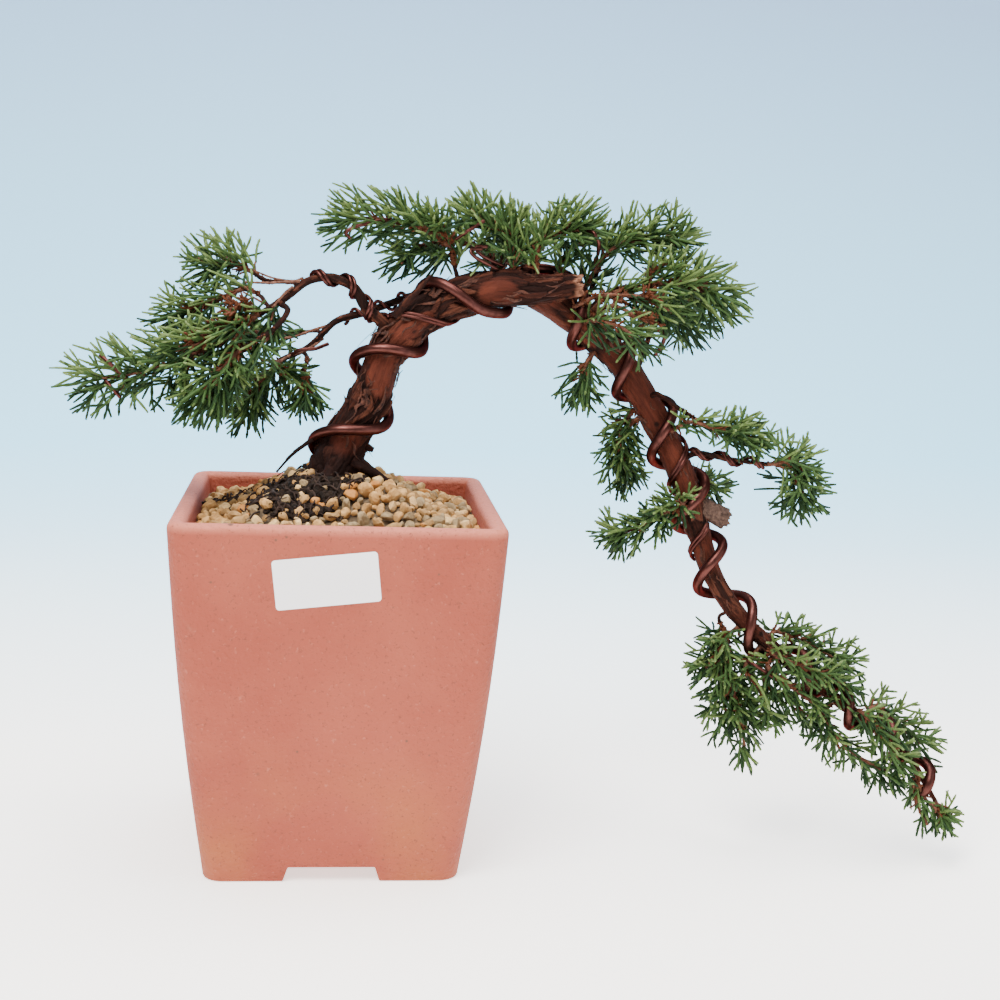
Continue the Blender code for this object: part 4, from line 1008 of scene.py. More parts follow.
@dataclass
class Soil:
    """The gravel in the pot: a mound of separate grains, with dark root soil at the trunk's left."""

    pot: Pot
    middle: Vector
    edge_height: float = 0.1600
    top_height: float = 0.1800
    flat: float = 0.27
    large: tuple[float, float] = (0.0027, 0.0040)
    small: tuple[float, float] = (0.0015, 0.0022)
    large_tries: int = 12000
    small_tries: int = 9000
    patch: tuple[float, float, float, float] = (-0.019, -0.017, 0.023, 0.024)
    patch_edge: float = 0.95
    patch_bare: float = 0.62
    patch_lift: float = 0.0008
    foot_across: float = -0.003
    foot_room: float = 0.0115
    crumb_count: int = 950
    root_count: int = 130

    def inside(self) -> float:
        """Half the width inside the wall, at the level of the gravel's edge."""
        return self.pot.half_at(self.edge_height) - self.pot.wall

    def share(self, x: Array, y: Array) -> Array:
        """How far from the middle to the wall a place is."""
        half = self.inside()
        return ((np.abs(x) / half) ** 8 + (np.abs(y) / half) ** 8) ** (1 / 8)

    def surface(self, x: Array, y: Array) -> Array:
        """Height of the mound."""
        fall = np.clip((self.share(x, y) - self.flat) / (1 - self.flat), 0.0, 1.0)
        return self.top_height - (self.top_height - self.edge_height) * np.sin(fall * math.pi / 2) ** 1.2

    def in_patch(self, x: Array, y: Array) -> Array:
        """How deep in the dark patch a place is: above one is outside."""
        px, py, rx, ry = self.patch
        wave = 0.18 * np.sin(7 * np.arctan2(y - py, x - px) + 1.0)
        return np.hypot((x - px) / rx, (y - py) / ry) + wave

    def scatter(self) -> Array:
        """Throws grains down where there is room: rows of x, y and radius."""
        rng = np.random.default_rng(11)
        rows = np.zeros((0, 3))
        half = self.inside()
        sizes = ((self.large, self.large_tries, 0.86), (self.small, self.small_tries, 0.74))
        for radii, tries, room in sizes:
            for _ in range(tries):
                radius = rng.uniform(*radii)
                x, y = rng.uniform(-half, half, 2)
                if self.share(x, y) * half > half - radius * 0.9:
                    continue
                gaps = np.hypot(rows[:, 0] - x, rows[:, 1] - y) - (rows[:, 2] + radius) * room
                if (gaps > 0).all():
                    rows = np.vstack([rows, (x, y, radius)])
        return rows

    def patch_place(self, rng: Random, spread: float) -> tuple[float, float]:
        """A random place in the dark patch, or a little past it where spread is over one."""
        px, py, rx, ry = self.patch
        angle, far = rng.uniform(0, math.tau), math.sqrt(rng.random()) * spread
        return px + rx * far * math.cos(angle), py + ry * far * math.sin(angle)

    def build(self) -> None:
        """Makes the grains, the dark soil and the fine roots in it."""
        ball = icosphere(2)
        self.build_grains(*ball)
        rng = np.random.default_rng(13)
        self.build_crumbs(*ball, rng)
        self.build_fine_roots(rng)
        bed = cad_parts["substrate"]
        bed.data.materials[0] = Grit((0.060, 0.040, 0.024), (0.16, 0.11, 0.065)).make("gravel_bed")

    def build_grains(self, points: Array, faces: Array) -> None:
        """The separate grains, fewer on the dark patch and none in the trunk's foot."""
        rng = np.random.default_rng(12)
        shares = [share for share, _ in GRAINS]
        grains = Shape(self.middle)
        for x, y, radius in self.scatter():
            dark = self.in_patch(x, y) < self.patch_edge
            if dark and rng.random() < self.patch_bare:
                continue
            if math.hypot(x - self.foot_across, y) < self.foot_room:
                continue
            grain = chipped(points, rng)
            grain = grain * (1.12, rng.uniform(0.75, 1.05), rng.uniform(0.65, 0.95))
            turn = np.array(Matrix.Rotation(rng.uniform(0, math.tau), 3, Vector(rng.normal(size=3))))
            grain = grain @ turn.T * radius
            lift = radius * rng.uniform(0.15, 0.60) + (self.patch_lift if dark else 0.0)
            grain += np.array([x, y, float(self.surface(x, y)) + lift])
            grains.add(grain, faces, int(rng.choice(len(GRAINS), p=shares)))
        materials = [finish.make(f"grain_{number}") for number, (_, finish) in enumerate(GRAINS)]
        settle(grains.build("gravel_grains", materials, facets=True))

    def build_crumbs(self, points: Array, faces: Array, rng: Random) -> None:
        """Crumbs of dark soil in the patch and round the trunk's foot."""
        crumbs = Shape(self.middle)
        for _ in range(self.crumb_count):
            if rng.random() < 0.84:
                x, y = self.patch_place(rng, 1.05)
            else:
                angle, far = rng.uniform(0, math.tau), rng.uniform(0.009, 0.019)
                x, y = self.foot_across + far * math.cos(angle), far * math.sin(angle)
            radius = rng.uniform(0.0007, 0.0026)
            crumb = chipped(points, rng) * radius
            height = float(self.surface(x, y)) + rng.uniform(-0.0010, 0.0016)
            crumbs.add(crumb + np.array([x, y, height]), faces)
        dark = Grit((0.005, 0.0028, 0.0018), (0.022, 0.012, 0.007)).make("root_soil")
        settle(crumbs.build("dark_root_soil", [dark], facets=True))

    def build_fine_roots(self, rng: Random) -> None:
        """Fine roots in the patch, and one in six further to the left."""
        roots = Shape(self.middle)
        for number in range(self.root_count):
            start = np.array([*self.patch_place(rng, 1.1), 0.0])
            if number % 6 == 0:
                start = np.array([rng.uniform(-0.060, -0.034), rng.uniform(0.006, 0.026), 0.0])
            heading = rng.uniform(0, math.tau)
            line = [start]
            for _ in range(5):
                heading += rng.normal(0, 0.5)
                stride = rng.uniform(0.0012, 0.0030)
                line.append(line[-1] + np.array([math.cos(heading), math.sin(heading), 0.0]) * stride)
            line = np.array(line)
            line[:, 2] = self.surface(line[:, 0], line[:, 1]) + rng.uniform(0.0010, 0.0046, len(line))
            curve = smooth(line, 3)
            path = Path(curve, np.full(len(curve), rng.uniform(0.00018, 0.00065)))
            roots.add_tube(path.ring_grid(5))
        fine = WoodFinish((0.008, 0.004, 0.003), (0.040, 0.020, 0.012)).make("fine_root")
        settle(roots.build("fine_roots", [fine]))


def chipped(points: Array, rng: Random) -> Array:
    """Points of a ball cut back by random planes and roughened, as a broken grain is."""
    grain = points * (1 + 0.07 * np.sin(points @ rng.normal(0, 3.0, (3, 1)) + rng.uniform(0, 6)))
    for normal in unit(rng.normal(size=(9, 3))):
        depth = grain @ normal
        limit = rng.uniform(0.58, 0.84)
        over = np.maximum(depth - limit, 0.0)
        grain = grain - normal * (over * 0.9)[:, None]
    return grain + rng.normal(0, 0.025, grain.shape)


def icosphere(level: int) -> tuple[Array, Array]:
    """Points and triangles of a unit icosphere."""
    shape = bmesh.new()
    bmesh.ops.create_icosphere(shape, subdivisions=level, radius=1.0)
    points = np.array([vert.co[:] for vert in shape.verts])
    faces = np.array([[vert.index for vert in face.verts] for face in shape.faces])
    shape.free()
    return points, faces


# ---------------------------------------------------------------- wood


@dataclass
class Bark:
    """Bark worked out on a grid round a limb: plates, cracks, fibres and bare stretches."""

    seed: int
    plate_width: float = 0.0030
    plate_length: float = 0.0140
    depth: float = 0.0012
    bareness: float = 0.0
    twist: float = 9.0
    sinew: float = 0.05
    crack_width: float = 0.16
    shade_width: float = 0.10
    wander_length: float = 0.013
    fibre_length: float = 0.0040
    fine_length: float = 0.0022
    lump_length: float = 0.011
    skin_length: float = 0.020

    def bare_at(self, station: Array, angle: Array, spots: Sequence[Sequence[float]]) -> Array:
        """How bare of plates each place is, from 0 to 1, by distance and by angle in turns."""
        skin = Noise(self.seed + 5, 3, 59).at(angle * 3, station / self.skin_length)
        bare = np.clip((skin + self.bareness) * 3, 0, 1)
        for far, turn, half_length, half_turn in spots:
            offset = (angle - turn + 0.5) % 1.0 - 0.5
            spot = np.hypot((station - far) / half_length, offset / half_turn)
            bare = np.maximum(bare, np.clip((1.15 - spot) * 4, 0, 1))
        return bare

    def dress(self, path: Path, sides: int, flare: Callable[[Array, Array], Array] | None = None,
              spots: Sequence[Sequence[float]] = ()) -> tuple[Array, dict]:
        """The limb's surface and what its points carry.

        Args:
            path: The limb's centre line.
            sides: Points round it.
            flare: Scales the radius by distance and angle.
            spots: Distance, turn, half length and half width in turns of smooth places.

        Returns:
            The grid of points, and the values plate, crack (painted shade in cracks and grooves), bare,
            cut, darkening, east, north and run.
        """
        station, angle = np.meshgrid(path.lengths, np.arange(sides) / sides, indexing="ij")
        radius = np.repeat(path.radii[:, None], sides, axis=1)
        around = max(5, round(math.tau * float(path.radii.mean()) / self.plate_width))
        wander = Noise(self.seed + 1, 5, 97).at(angle * 5, station / self.wander_length)
        across = (angle + station * self.twist / math.tau * 0.3) * around + wander * 0.9
        along = station / self.plate_length + wander * 0.35 + np.sin(math.tau * angle * 2) * 0.2
        value, edge, run = Plates(self.seed, around, 83).at(across, along)
        run_on = station / self.fibre_length + wander
        fibre = Noise(self.seed + 2, around * 7, 89).at(across * 7, run_on)
        run_on = station / self.fine_length + wander * 2
        fine = Noise(self.seed + 3, around * 16, 101).at(across * 16, run_on)
        lump = Noise(self.seed + 4, 4, 61).at(angle * 4, station / self.lump_length)
        bare = self.bare_at(station, angle, spots)
        scale = np.clip(radius / 0.008, 0.18, 1.0)
        lifted = value ** 2 * np.clip(0.55 + run, 0.0, 1.2)
        crack = np.clip((self.crack_width - edge) / self.crack_width, 0.0, 1.0)
        relief = self.depth * ((lifted * 1.5 - 0.55 * crack) * (1 - 0.85 * bare) - 0.10)
        relief += self.depth * (0.16 * fibre + 0.08 * fine) * (1 - 0.6 * bare) + 0.0005 * lump
        sinew = self.sinew * np.sin(math.tau * (2 * angle + station * 14)) * np.cos(station * 170)
        reach = radius * ((flare(station, angle) if flare else 1.0) + sinew) + relief * scale
        # Painted shade: dark along the plate edges where the cracks are cut in, and in the deepest fibre
        # grooves, less on bare skin.
        shade = np.clip((self.shade_width - edge) / self.shade_width, 0.0, 1.0)
        shade *= (1 - 0.75 * bare) * 0.85
        shade = np.maximum(shade, np.clip(-fibre - 0.45, 0, 1) * 0.9 * (1 - 0.6 * bare))
        values = {
            "plate": np.clip(value * 0.85 + 0.25 * lifted + 0.12 * fine, 0.0, 1.0),
            "crack": shade,
            "bare": bare * 0.88,
            "cut": np.zeros_like(bare),
            "darkening": np.zeros_like(bare),
            "east": radius * np.cos(angle * math.tau),
            "north": radius * np.sin(angle * math.tau),
            "run": station,
        }
        return path.ring_grid(sides, reach), values


def close_end(grid: Array, values: dict, tangent: Array, rng: Random) -> tuple[Array, dict]:
    """Adds a rough broken face to the end of a limb.

    Args:
        grid: The limb's rings.
        values: What its points carry.
        tangent: The direction of the end.
        rng: Where the roughness comes from.

    Returns:
        The longer grid and values.
    """
    last = grid[-1]
    centre = last.mean(axis=0)
    rings = [grid]
    for share, rise in ((0.93, 0.0004), (0.72, 0.0003), (0.45, -0.0003), (0.15, -0.0005)):
        rough = rng.normal(0, 0.0003, (len(last), 1))
        rings.append((centre + (last - centre) * share + tangent * (rise + rough))[None])
    extra = len(rings) - 1
    longer = {}
    for name, value in values.items():
        tail = np.repeat(value[-1:], extra, axis=0)
        if name in ("cut", "crack", "darkening", "bare"):
            tail = np.full_like(tail, 1.0 if name == "cut" else 0.0)
        longer[name] = np.vstack([value, tail])
    return np.vstack(rings), longer


@dataclass
class Wood:
    """The trunk, the cascade and the boughs, with their bark."""

    middle: Vector
    limbs: dict[str, Path] = field(default_factory=dict)
    trunk_sides: int = 144
    cascade_sides: int = 96
    bough_sides: int = 18
    stub_sides: int = 48
    root_sides: int = 24
    flake_count: int = 240
    flake_thickness: float = 0.00012
    bark: Material = field(init=False)

    def __post_init__(self) -> None:
        """Lays out every limb's centre line."""
        self.bark = BarkFinish().make("juniper_bark")
        self.limbs["trunk"] = Path.through(metres(TRUNK_ROUTE), 24, UP)
        self.limbs["cascade"] = Path.through(metres(CASCADE_ROUTE), 24)
        for name, carrier, route, *radii in BOUGHS:
            route = metres(route)
            root, outward = self.limbs[carrier].root_for(route[0])
            points = np.vstack([root, route])
            radii = np.linspace(*metres(radii), len(points))
            self.limbs[name] = Path.through(np.column_stack([points, radii]), 8, outward)

    def build(self) -> None:
        """Makes every piece of wood."""
        self.build_trunk()
        self.build_cascade()
        self.build_stub()
        for number, row in enumerate(BOUGHS):
            self.build_bough(row[0], 40 + number)
        self.build_flakes()
        self.build_roots()
        self.build_twigs()

    def skin(self, name: str, grid: Array, values: dict, replaces: Sequence[str]) -> None:
        """Makes a limb's bark from its rings of points and what they carry."""
        shape = Shape(self.middle)
        shape.add_tube(grid, 0, **values)
        settle(shape.build(name, [self.bark]), replaces)

    def build_trunk(self) -> None:
        """The trunk and its arch, with buttresses at the foot and a rough face at its cut end."""
        path = self.limbs["trunk"].spaced(0.0005)

        def flare(station: Array, angle: Array) -> Array:
            """Five buttresses at the foot, and a slightly square section above."""
            low = np.clip(1.0 - station / 0.020, 0.0, 1.0)
            lobes = 0.13 * np.cos(5 * math.tau * angle) + 0.06 * np.cos(3 * math.tau * angle + 1.0)
            return 0.985 + 0.02 * np.cos(4 * math.tau * angle + station * 60) + low * lobes

        spots = [(0.055, 0.07, 0.010, 0.17), (0.088, 0.02, 0.006, 0.06), (0.128, 0.05, 0.010, 0.14)]
        bark = Bark(seed=3, bareness=-0.38, depth=0.0016)
        grid, values = bark.dress(path, self.trunk_sides, flare, spots)
        station = np.repeat(path.lengths[:, None], self.trunk_sides, axis=1)
        turn = np.repeat(np.arange(self.trunk_sides)[None] / self.trunk_sides, len(grid), axis=0)
        # Darker towards the trunk's foot, and along a dark raised band.
        foot = np.clip((0.024 - station) / 0.018, 0, 1) * 0.9
        wander = Noise(8, 7).at(turn * 7, station / 0.004)
        band = np.clip(1.2 - np.abs(station - 0.040 - 0.002 * wander) / 0.0035, 0, 1)
        band = band * (wander > -0.25) * 0.8
        values["darkening"] = np.maximum(foot, band)
        grid += (grid - path.points[:, None]) * (band * 0.10)[..., None]
        last = path.lengths[-1]
        ragged = Noise(9, 13).at(turn * 13, station * 0) + 0.5 * Noise(10, 31).at(turn * 31, station * 0)
        torn = np.clip((station - last + 0.009) / 0.009, 0, 1) ** 2
        grid += path.tangents[:, None] * (torn * ragged * 0.0024)[..., None]
        values["cut"] = np.maximum(values["cut"], np.clip(torn * 1.6 - 0.9 + 0.3 * wander, 0, 0.8))
        grid, values = close_end(grid, values, path.tangents[-1], np.random.default_rng(5))
        self.skin("trunk_bark", grid, values, ["trunk_base", "trunk_arch"])

    def build_cascade(self) -> None:
        """The limb that falls from the arch, swelling where it leaves it."""
        path = self.limbs["cascade"].spaced(0.0006)

        def flare(station: Array, angle: Array) -> Array:
            """A swelling at the root, and a slightly three-sided section."""
            swelling = 0.10 * np.clip(1.0 - station / 0.020, 0.0, 1.0)
            return 1.0 + swelling + 0.02 * np.cos(3 * math.tau * angle)

        spots = [(0.030, 0.02, 0.012, 0.20), (0.060, 0.0, 0.016, 0.26), (0.100, 0.0, 0.010, 0.16)]
        bark = Bark(seed=21, bareness=0.30, plate_width=0.0028, depth=0.0013)
        grid, values = bark.dress(path, self.cascade_sides, flare, spots)
        self.skin("cascade_bark", grid, values, ["cascade_upper", "cascade_middle", "cascade_lower"])

    def build_stub(self) -> None:
        """The weathered stub on the cascade's outer side."""
        root, outward = self.limbs["cascade"].root_for(metres(STUB_ROOT))
        line = np.linspace(root, metres(STUB_END), 12)
        path = Path(line, np.linspace(*metres(STUB_RADII), len(line)), outward).spaced(0.0004)
        bark = Bark(seed=33, plate_width=0.0024, plate_length=0.020, depth=0.0016, bareness=-1.0,
                    sinew=0.10)
        grid, values = bark.dress(path, self.stub_sides)
        angle = np.linspace(0, math.tau, self.stub_sides, endpoint=False)
        torn = 0.0008 * np.sin(2 * angle + 1.0) + 0.0006 * np.sin(5 * angle) + 0.0004 * np.sin(11 * angle)
        share = np.clip(np.linspace(-1.4, 1.0, len(grid)), 0.0, 1.0)
        grid = grid + (share[:, None] * torn)[..., None] * path.tangents[-1]
        grid, _ = close_end(grid, values, path.tangents[-1], np.random.default_rng(6))
        shape = Shape(self.middle)
        shape.add_tube(grid)
        grey = WoodFinish((0.030, 0.015, 0.010), (0.105, 0.058, 0.041)).make("weathered_wood")
        settle(shape.build("weathered_stub", [grey]), ["side_stub"])

    def build_bough(self, name: str, seed: int) -> None:
        """One bough, with fine bark and the bumps of old leaf scars."""
        path = self.limbs[name].spaced(0.0007)
        bark = Bark(seed=seed, plate_width=0.0016, plate_length=0.006, depth=0.0011, bareness=-0.9)
        grid, values = bark.dress(path, self.bough_sides)
        self.skin(name + "_bark", grid, values, [name])

    def build_flakes(self) -> None:
        """Strips of bark that peel off the trunk and the cascade."""
        rng = np.random.default_rng(71)
        shape = Shape(self.middle)
        for number in range(self.flake_count):
            name, kept_back = ("trunk", 0.004) if number % 5 < 3 else ("cascade", 0.110)
            limb = self.limbs[name]
            far = rng.uniform(0.008, limb.lengths[-1] - kept_back)
            turn = rng.uniform(0, math.tau)
            lift = rng.uniform(0.0002, 0.0022) * rng.random() ** 0.8
            if number % 3 == 0:
                name, far, turn = RAGGED[rng.integers(len(RAGGED))]
                limb = self.limbs[name]
                far = float(metres(far)) + rng.normal(0, 0.005)
                turn = turn * math.tau + rng.normal(0, 0.45)
                lift = rng.uniform(0.0008, 0.0046)
            length = rng.uniform(0.004, 0.014) * rng.choice([-1.0, 1.0])
            width = rng.uniform(0.0006, 0.0023)
            if number % 6 == 0:
                length *= 0.6
                width = rng.uniform(0.0022, 0.0042)
            shape.add_tube(self.flake(limb, far, turn, length, width, lift, rng))
        peel = WoodFinish((0.016, 0.005, 0.0030), (0.085, 0.027, 0.0145)).make("peeling_bark")
        settle(shape.build("bark_flakes", [peel]))

    def flake(self, limb: Path, far: float, turn: float, length: float, width: float, lift: float,
              rng: Random) -> Array:
        """One peeling strip, as rings of six points.

        Args:
            limb: The limb that it peels from.
            far: Where it is held, as a distance along the limb.
            turn: Where it is held, as an angle round the limb.
            length: Its length, negative if it runs back towards the root.
            width: Its greatest width.
            lift: How far its free end stands off.
            rng: Where its waver comes from.

        Returns:
            The rings.
        """
        share = np.linspace(0.0, 1.0, 7)
        station = np.clip(far + length * share, 0.0, limb.lengths[-1])
        drift = rng.normal(0, 0.25)
        angle = turn + drift * share + 0.1 * np.sin(share * rng.uniform(3, 8))
        out, side = limb.outward(station, angle), limb.outward(station, angle + math.pi / 2)
        height = limb.at(station, limb.radii) + 0.0001 + lift * share ** 1.6
        spine = limb.at(station, limb.points) + out * height[:, None]
        waver = 0.8 + 0.2 * np.sin(share * 9 + drift * 9)
        half = width / 2 * np.minimum(1.0, (1.12 - share) * 1.8) * waver
        curl = 0.35 * half
        ring = []
        for across, rise, above in ((-1, -1, 1), (0, 0, 1), (1, -1, 1), (1, -1, 0), (0, 0, 0), (-1, -1, 0)):
            lifted = rise * curl + above * self.flake_thickness
            ring.append(spine + side * (across * half)[:, None] + out * lifted[:, None])
        return np.stack(ring, axis=1)

    def build_roots(self) -> None:
        """Surface roots at the trunk's foot, and the broken spike above the first wire crossing."""
        shape = Shape(self.middle)
        for number, row in enumerate(ROOTS):
            path = Path.through(metres(row), 10).spaced(0.0005)
            bark = Bark(seed=90 + number, plate_width=0.0018, plate_length=0.007, bareness=-1.0)
            grid, values = bark.dress(path, self.root_sides)
            # Darker on the roots that lie in the soil, and a little on the others.
            values["darkening"] += 0.75 if number < ROOTS_IN_SOIL else 0.15
            shape.add_tube(grid, 0, **values)
        settle(shape.build("surface_roots", [self.bark]))

    def build_twigs(self) -> None:
        """The bare twigs beside the boughs at the left."""
        shape = Shape(self.middle)
        for radius, route in BARE_TWIGS:
            line = smooth(metres(route), 16)
            taper = np.linspace(1.1, 0.7, len(line)) * (1 + 0.12 * np.sin(np.arange(len(line)) * 1.9))
            shape.add_tube(Path(line, metres(radius) * taper).ring_grid(7))
        thin = WoodFinish((0.050, 0.018, 0.011), (0.20, 0.085, 0.052)).make("thin_bark")
        settle(shape.build("bare_twigs", [thin]))


# ---------------------------------------------------------------- wires


@dataclass
class Wires:
    """The wires wound round the wood."""

    middle: Vector
    limbs: dict[str, Path]
    steps_per_turn: int = 40
    thick_sides: int = 20
    thin_sides: int = 10
    strand_step: float = 0.0019
    made: list[Path] = field(default_factory=list)

    def wound(self, guide: Path, turns: Sequence[Sequence[float]], radius: float,
              shift: float = 0.0) -> Path:
        """A wire wound on a guide.

        Args:
            guide: The line that it winds round.
            turns: Rows of distance along the guide, turns from the front, and slack, as in the tables.
            radius: The wire's radius.
            shift: How far along the guide the whole wire is moved.

        Returns:
            The wire's centre line.
        """
        knots = np.array(turns, float)
        knots[:, [0, 2]] = metres(knots[:, [0, 2]])
        distance, angle, slack = smooth(knots, 8).T
        count = max(8, round(abs(angle[-1] - angle[0]) * self.steps_per_turn))
        sample = np.linspace(angle[0], angle[-1], count + 1)
        station = np.interp(sample, angle, distance) + shift
        reach = guide.at(station, guide.radii) + radius + GAP + np.interp(sample, angle, slack)
        out = guide.outward(station, sample * math.tau)
        return Path(guide.at(station, guide.points) + out * reach[:, None], np.full(count + 1, radius))

    def tube(self, shape: Shape, wire: Path, sides: int) -> None:
        """Adds a wire with its cut ends slightly rounded."""
        grid = wire.ring_grid(sides)
        radius = wire.radii[0]
        ends = []
        for ring, tangent in ((grid[0], -wire.tangents[0]), (grid[-1], wire.tangents[-1])):
            centre = ring.mean(axis=0)
            rounded = [centre + (ring - centre) * share + tangent * radius * rise
                       for share, rise in ((0.92, 0.16), (0.72, 0.26))]
            ends.append(np.array(rounded))
        shape.add_tube(np.vstack([ends[0][::-1], grid, ends[1]]))

    def build(self) -> None:
        """Makes the thick wire and the thin ones."""
        metal = WireFinish().make("anodised_wire")
        rows = TRUNK_ROUTE[:-1] + [WIRE_FORK] + CASCADE_ROUTE[1:]
        thick = self.wound(Path.through(metres(rows), 24), WIRE_TURNS, WIRE_RADIUS)
        self.made.append(thick)
        shape = Shape(self.middle)
        self.tube(shape, thick, self.thick_sides)
        settle(shape.build("thick_wire", [metal]),
               ["wire_rise", "wire_arch", "wire_fall", "wire_tail"])
        for name, carrier, strands, turns, replaced in THIN_WIRES:
            shape = Shape(self.middle)
            for strand in range(strands):
                shift = strand * self.strand_step
                wire = self.wound(self.limbs[carrier], turns, THIN_WIRE_RADIUS, shift)
                self.made.append(wire)
                self.tube(shape, wire, self.thin_sides)
            settle(shape.build(name + "_pair", [metal]), replaced)
        shape = Shape(self.middle)
        for route in LOOSE_WIRES:
            curve = smooth(metres(route), 8)
            self.tube(shape, Path(curve, np.full(len(curve), THIN_WIRE_RADIUS)), self.thin_sides)
        settle(shape.build("loose_wire_ends", [metal]))


# ---------------------------------------------------------------- foliage


class Keepout:
    """Stretches of wood and wire that shoots keep clear of."""

    def __init__(self, paths: Sequence[Path]) -> None:
        """Takes in every stretch of the paths, thinned to what the test needs."""
        starts, ends, radii = [], [], []
        for path in paths:
            coarse = path.spaced(0.003)
            starts.append(coarse.points[:-1])
            ends.append(coarse.points[1:])
            radii.append(coarse.radii[:-1])
        self.starts = np.vstack(starts)
        self.spans = np.vstack(ends) - self.starts
        self.radii = np.concatenate(radii)

    def clear(self, points: Array, room: float) -> bool:
        """Whether points keep so far from the surface of every stretch."""
        offsets = points[:, None] - self.starts
        along = (offsets * self.spans).sum(axis=2) / (self.spans ** 2).sum(axis=1)
        nearest = self.starts + np.clip(along, 0.0, 1.0)[..., None] * self.spans
        distances = np.linalg.norm(points[:, None] - nearest, axis=2) - self.radii
        return bool((distances > room).all())


@dataclass
class Shoots:
    """Slender shoots gathered for one mesh, made together from arrays."""

    rings: int
    sides: int = 6
    rows: list[tuple] = field(default_factory=list)

    def add(self, start: Array, direction: Array, bend: Array, length: float, radius: float,
            green: Green, tip: Green) -> None:
        """Notes one shoot."""
        self.rows.append((start, direction, bend, length, radius, green.value, tip.value))

    def pour(self, shape: Shape) -> None:
        """Adds every noted shoot to a mesh: overlapping scales in pairs, each pair across the last."""
        if not self.rows:
            return
        columns = [np.array(column) for column in zip(*self.rows)]
        start, direction, bend, length, radius, green, tip = columns
        share = np.linspace(0.0, 1.0, self.rings)
        arc = direction[:, None] * share[:, None] + bend[:, None] * (share ** 2)[:, None] / 2
        line = start[:, None] + arc * length[:, None, None]
        tangent = unit(np.gradient(line, axis=1))
        helper = np.where(np.abs(direction[:, 2:]) < 0.8, UP, FRONT)[:, None]
        across = unit(np.cross(tangent, np.broadcast_to(helper, tangent.shape)))
        other = np.cross(tangent, across)
        angle = np.arange(self.sides) / self.sides * math.tau
        taper = np.interp(share, (0.0, 0.10, 0.80, 0.95, 1.0), (0.88, 1.0, 1.0, 0.92, 0.66))
        pairs = 1.0 + 0.17 * np.cos(2 * angle[None, :] + math.pi * np.arange(self.rings)[:, None])
        reach = radius[:, None, None] * taper[None, :, None] * pairs[None]
        spoke = (across[:, :, None] * np.cos(angle)[:, None] + other[:, :, None] * np.sin(angle)[:, None])
        points = line[:, :, None] + spoke * reach[..., None]
        count = len(self.rows)
        block = self.rings * self.sides
        faces = ring_faces(self.rings, self.sides)
        offset = (np.arange(count) * block)[:, None, None]
        tipped = np.repeat(np.arange(self.rings - 1) >= self.rings - 2, self.sides)
        slots = np.where(tipped[None], tip[:, None], green[:, None])
        base = shape.count
        shape.add(points, (faces[None] + offset).reshape(-1, 4), slots.ravel())
        low = np.arange(self.sides)[::-1][None] + offset[:, 0]
        high = np.arange(self.sides)[None] + (self.rings - 1) * self.sides + offset[:, 0]
        shape.add_faces(low + base, green)
        shape.add_faces(high + base, tip)


def turned(direction: Array, splay: float, roll: float) -> Array:
    """A direction leaned away from the given one by splay, at roll round it."""
    helper = UP if abs(direction[2]) < 0.8 else FRONT
    side = unit(np.cross(direction, helper))
    other = np.cross(direction, side)
    sideways = side * math.cos(roll) + other * math.sin(roll)
    return unit(direction * math.cos(splay) + sideways * math.sin(splay))


@dataclass(frozen=True)
class Habit:
    """How a spray is built: its length, the gap between side shoots, their length, lean and radius."""

    length: tuple[float, float]
    gap: tuple[float, float]
    side: float
    lean: tuple[float, float]
    radius: tuple[float, float]


WHIPS = Habit((0.0150, 0.0225), (0.0055, 0.0095), 0.90, (32.0, 52.0), (0.00055, 0.00067))
ANTLERS = Habit((0.0125, 0.0190), (0.0036, 0.0054), 0.74, (38.0, 60.0), (0.00059, 0.00071))
WITHERED = Habit((0.0040, 0.0075), (0.0014, 0.0022), 0.70, (30.0, 70.0), (0.00045, 0.00060))
HABITS = {"tail": ANTLERS, "fall": ANTLERS, "dead": WITHERED}
SHOOT_GAP = 0.0024


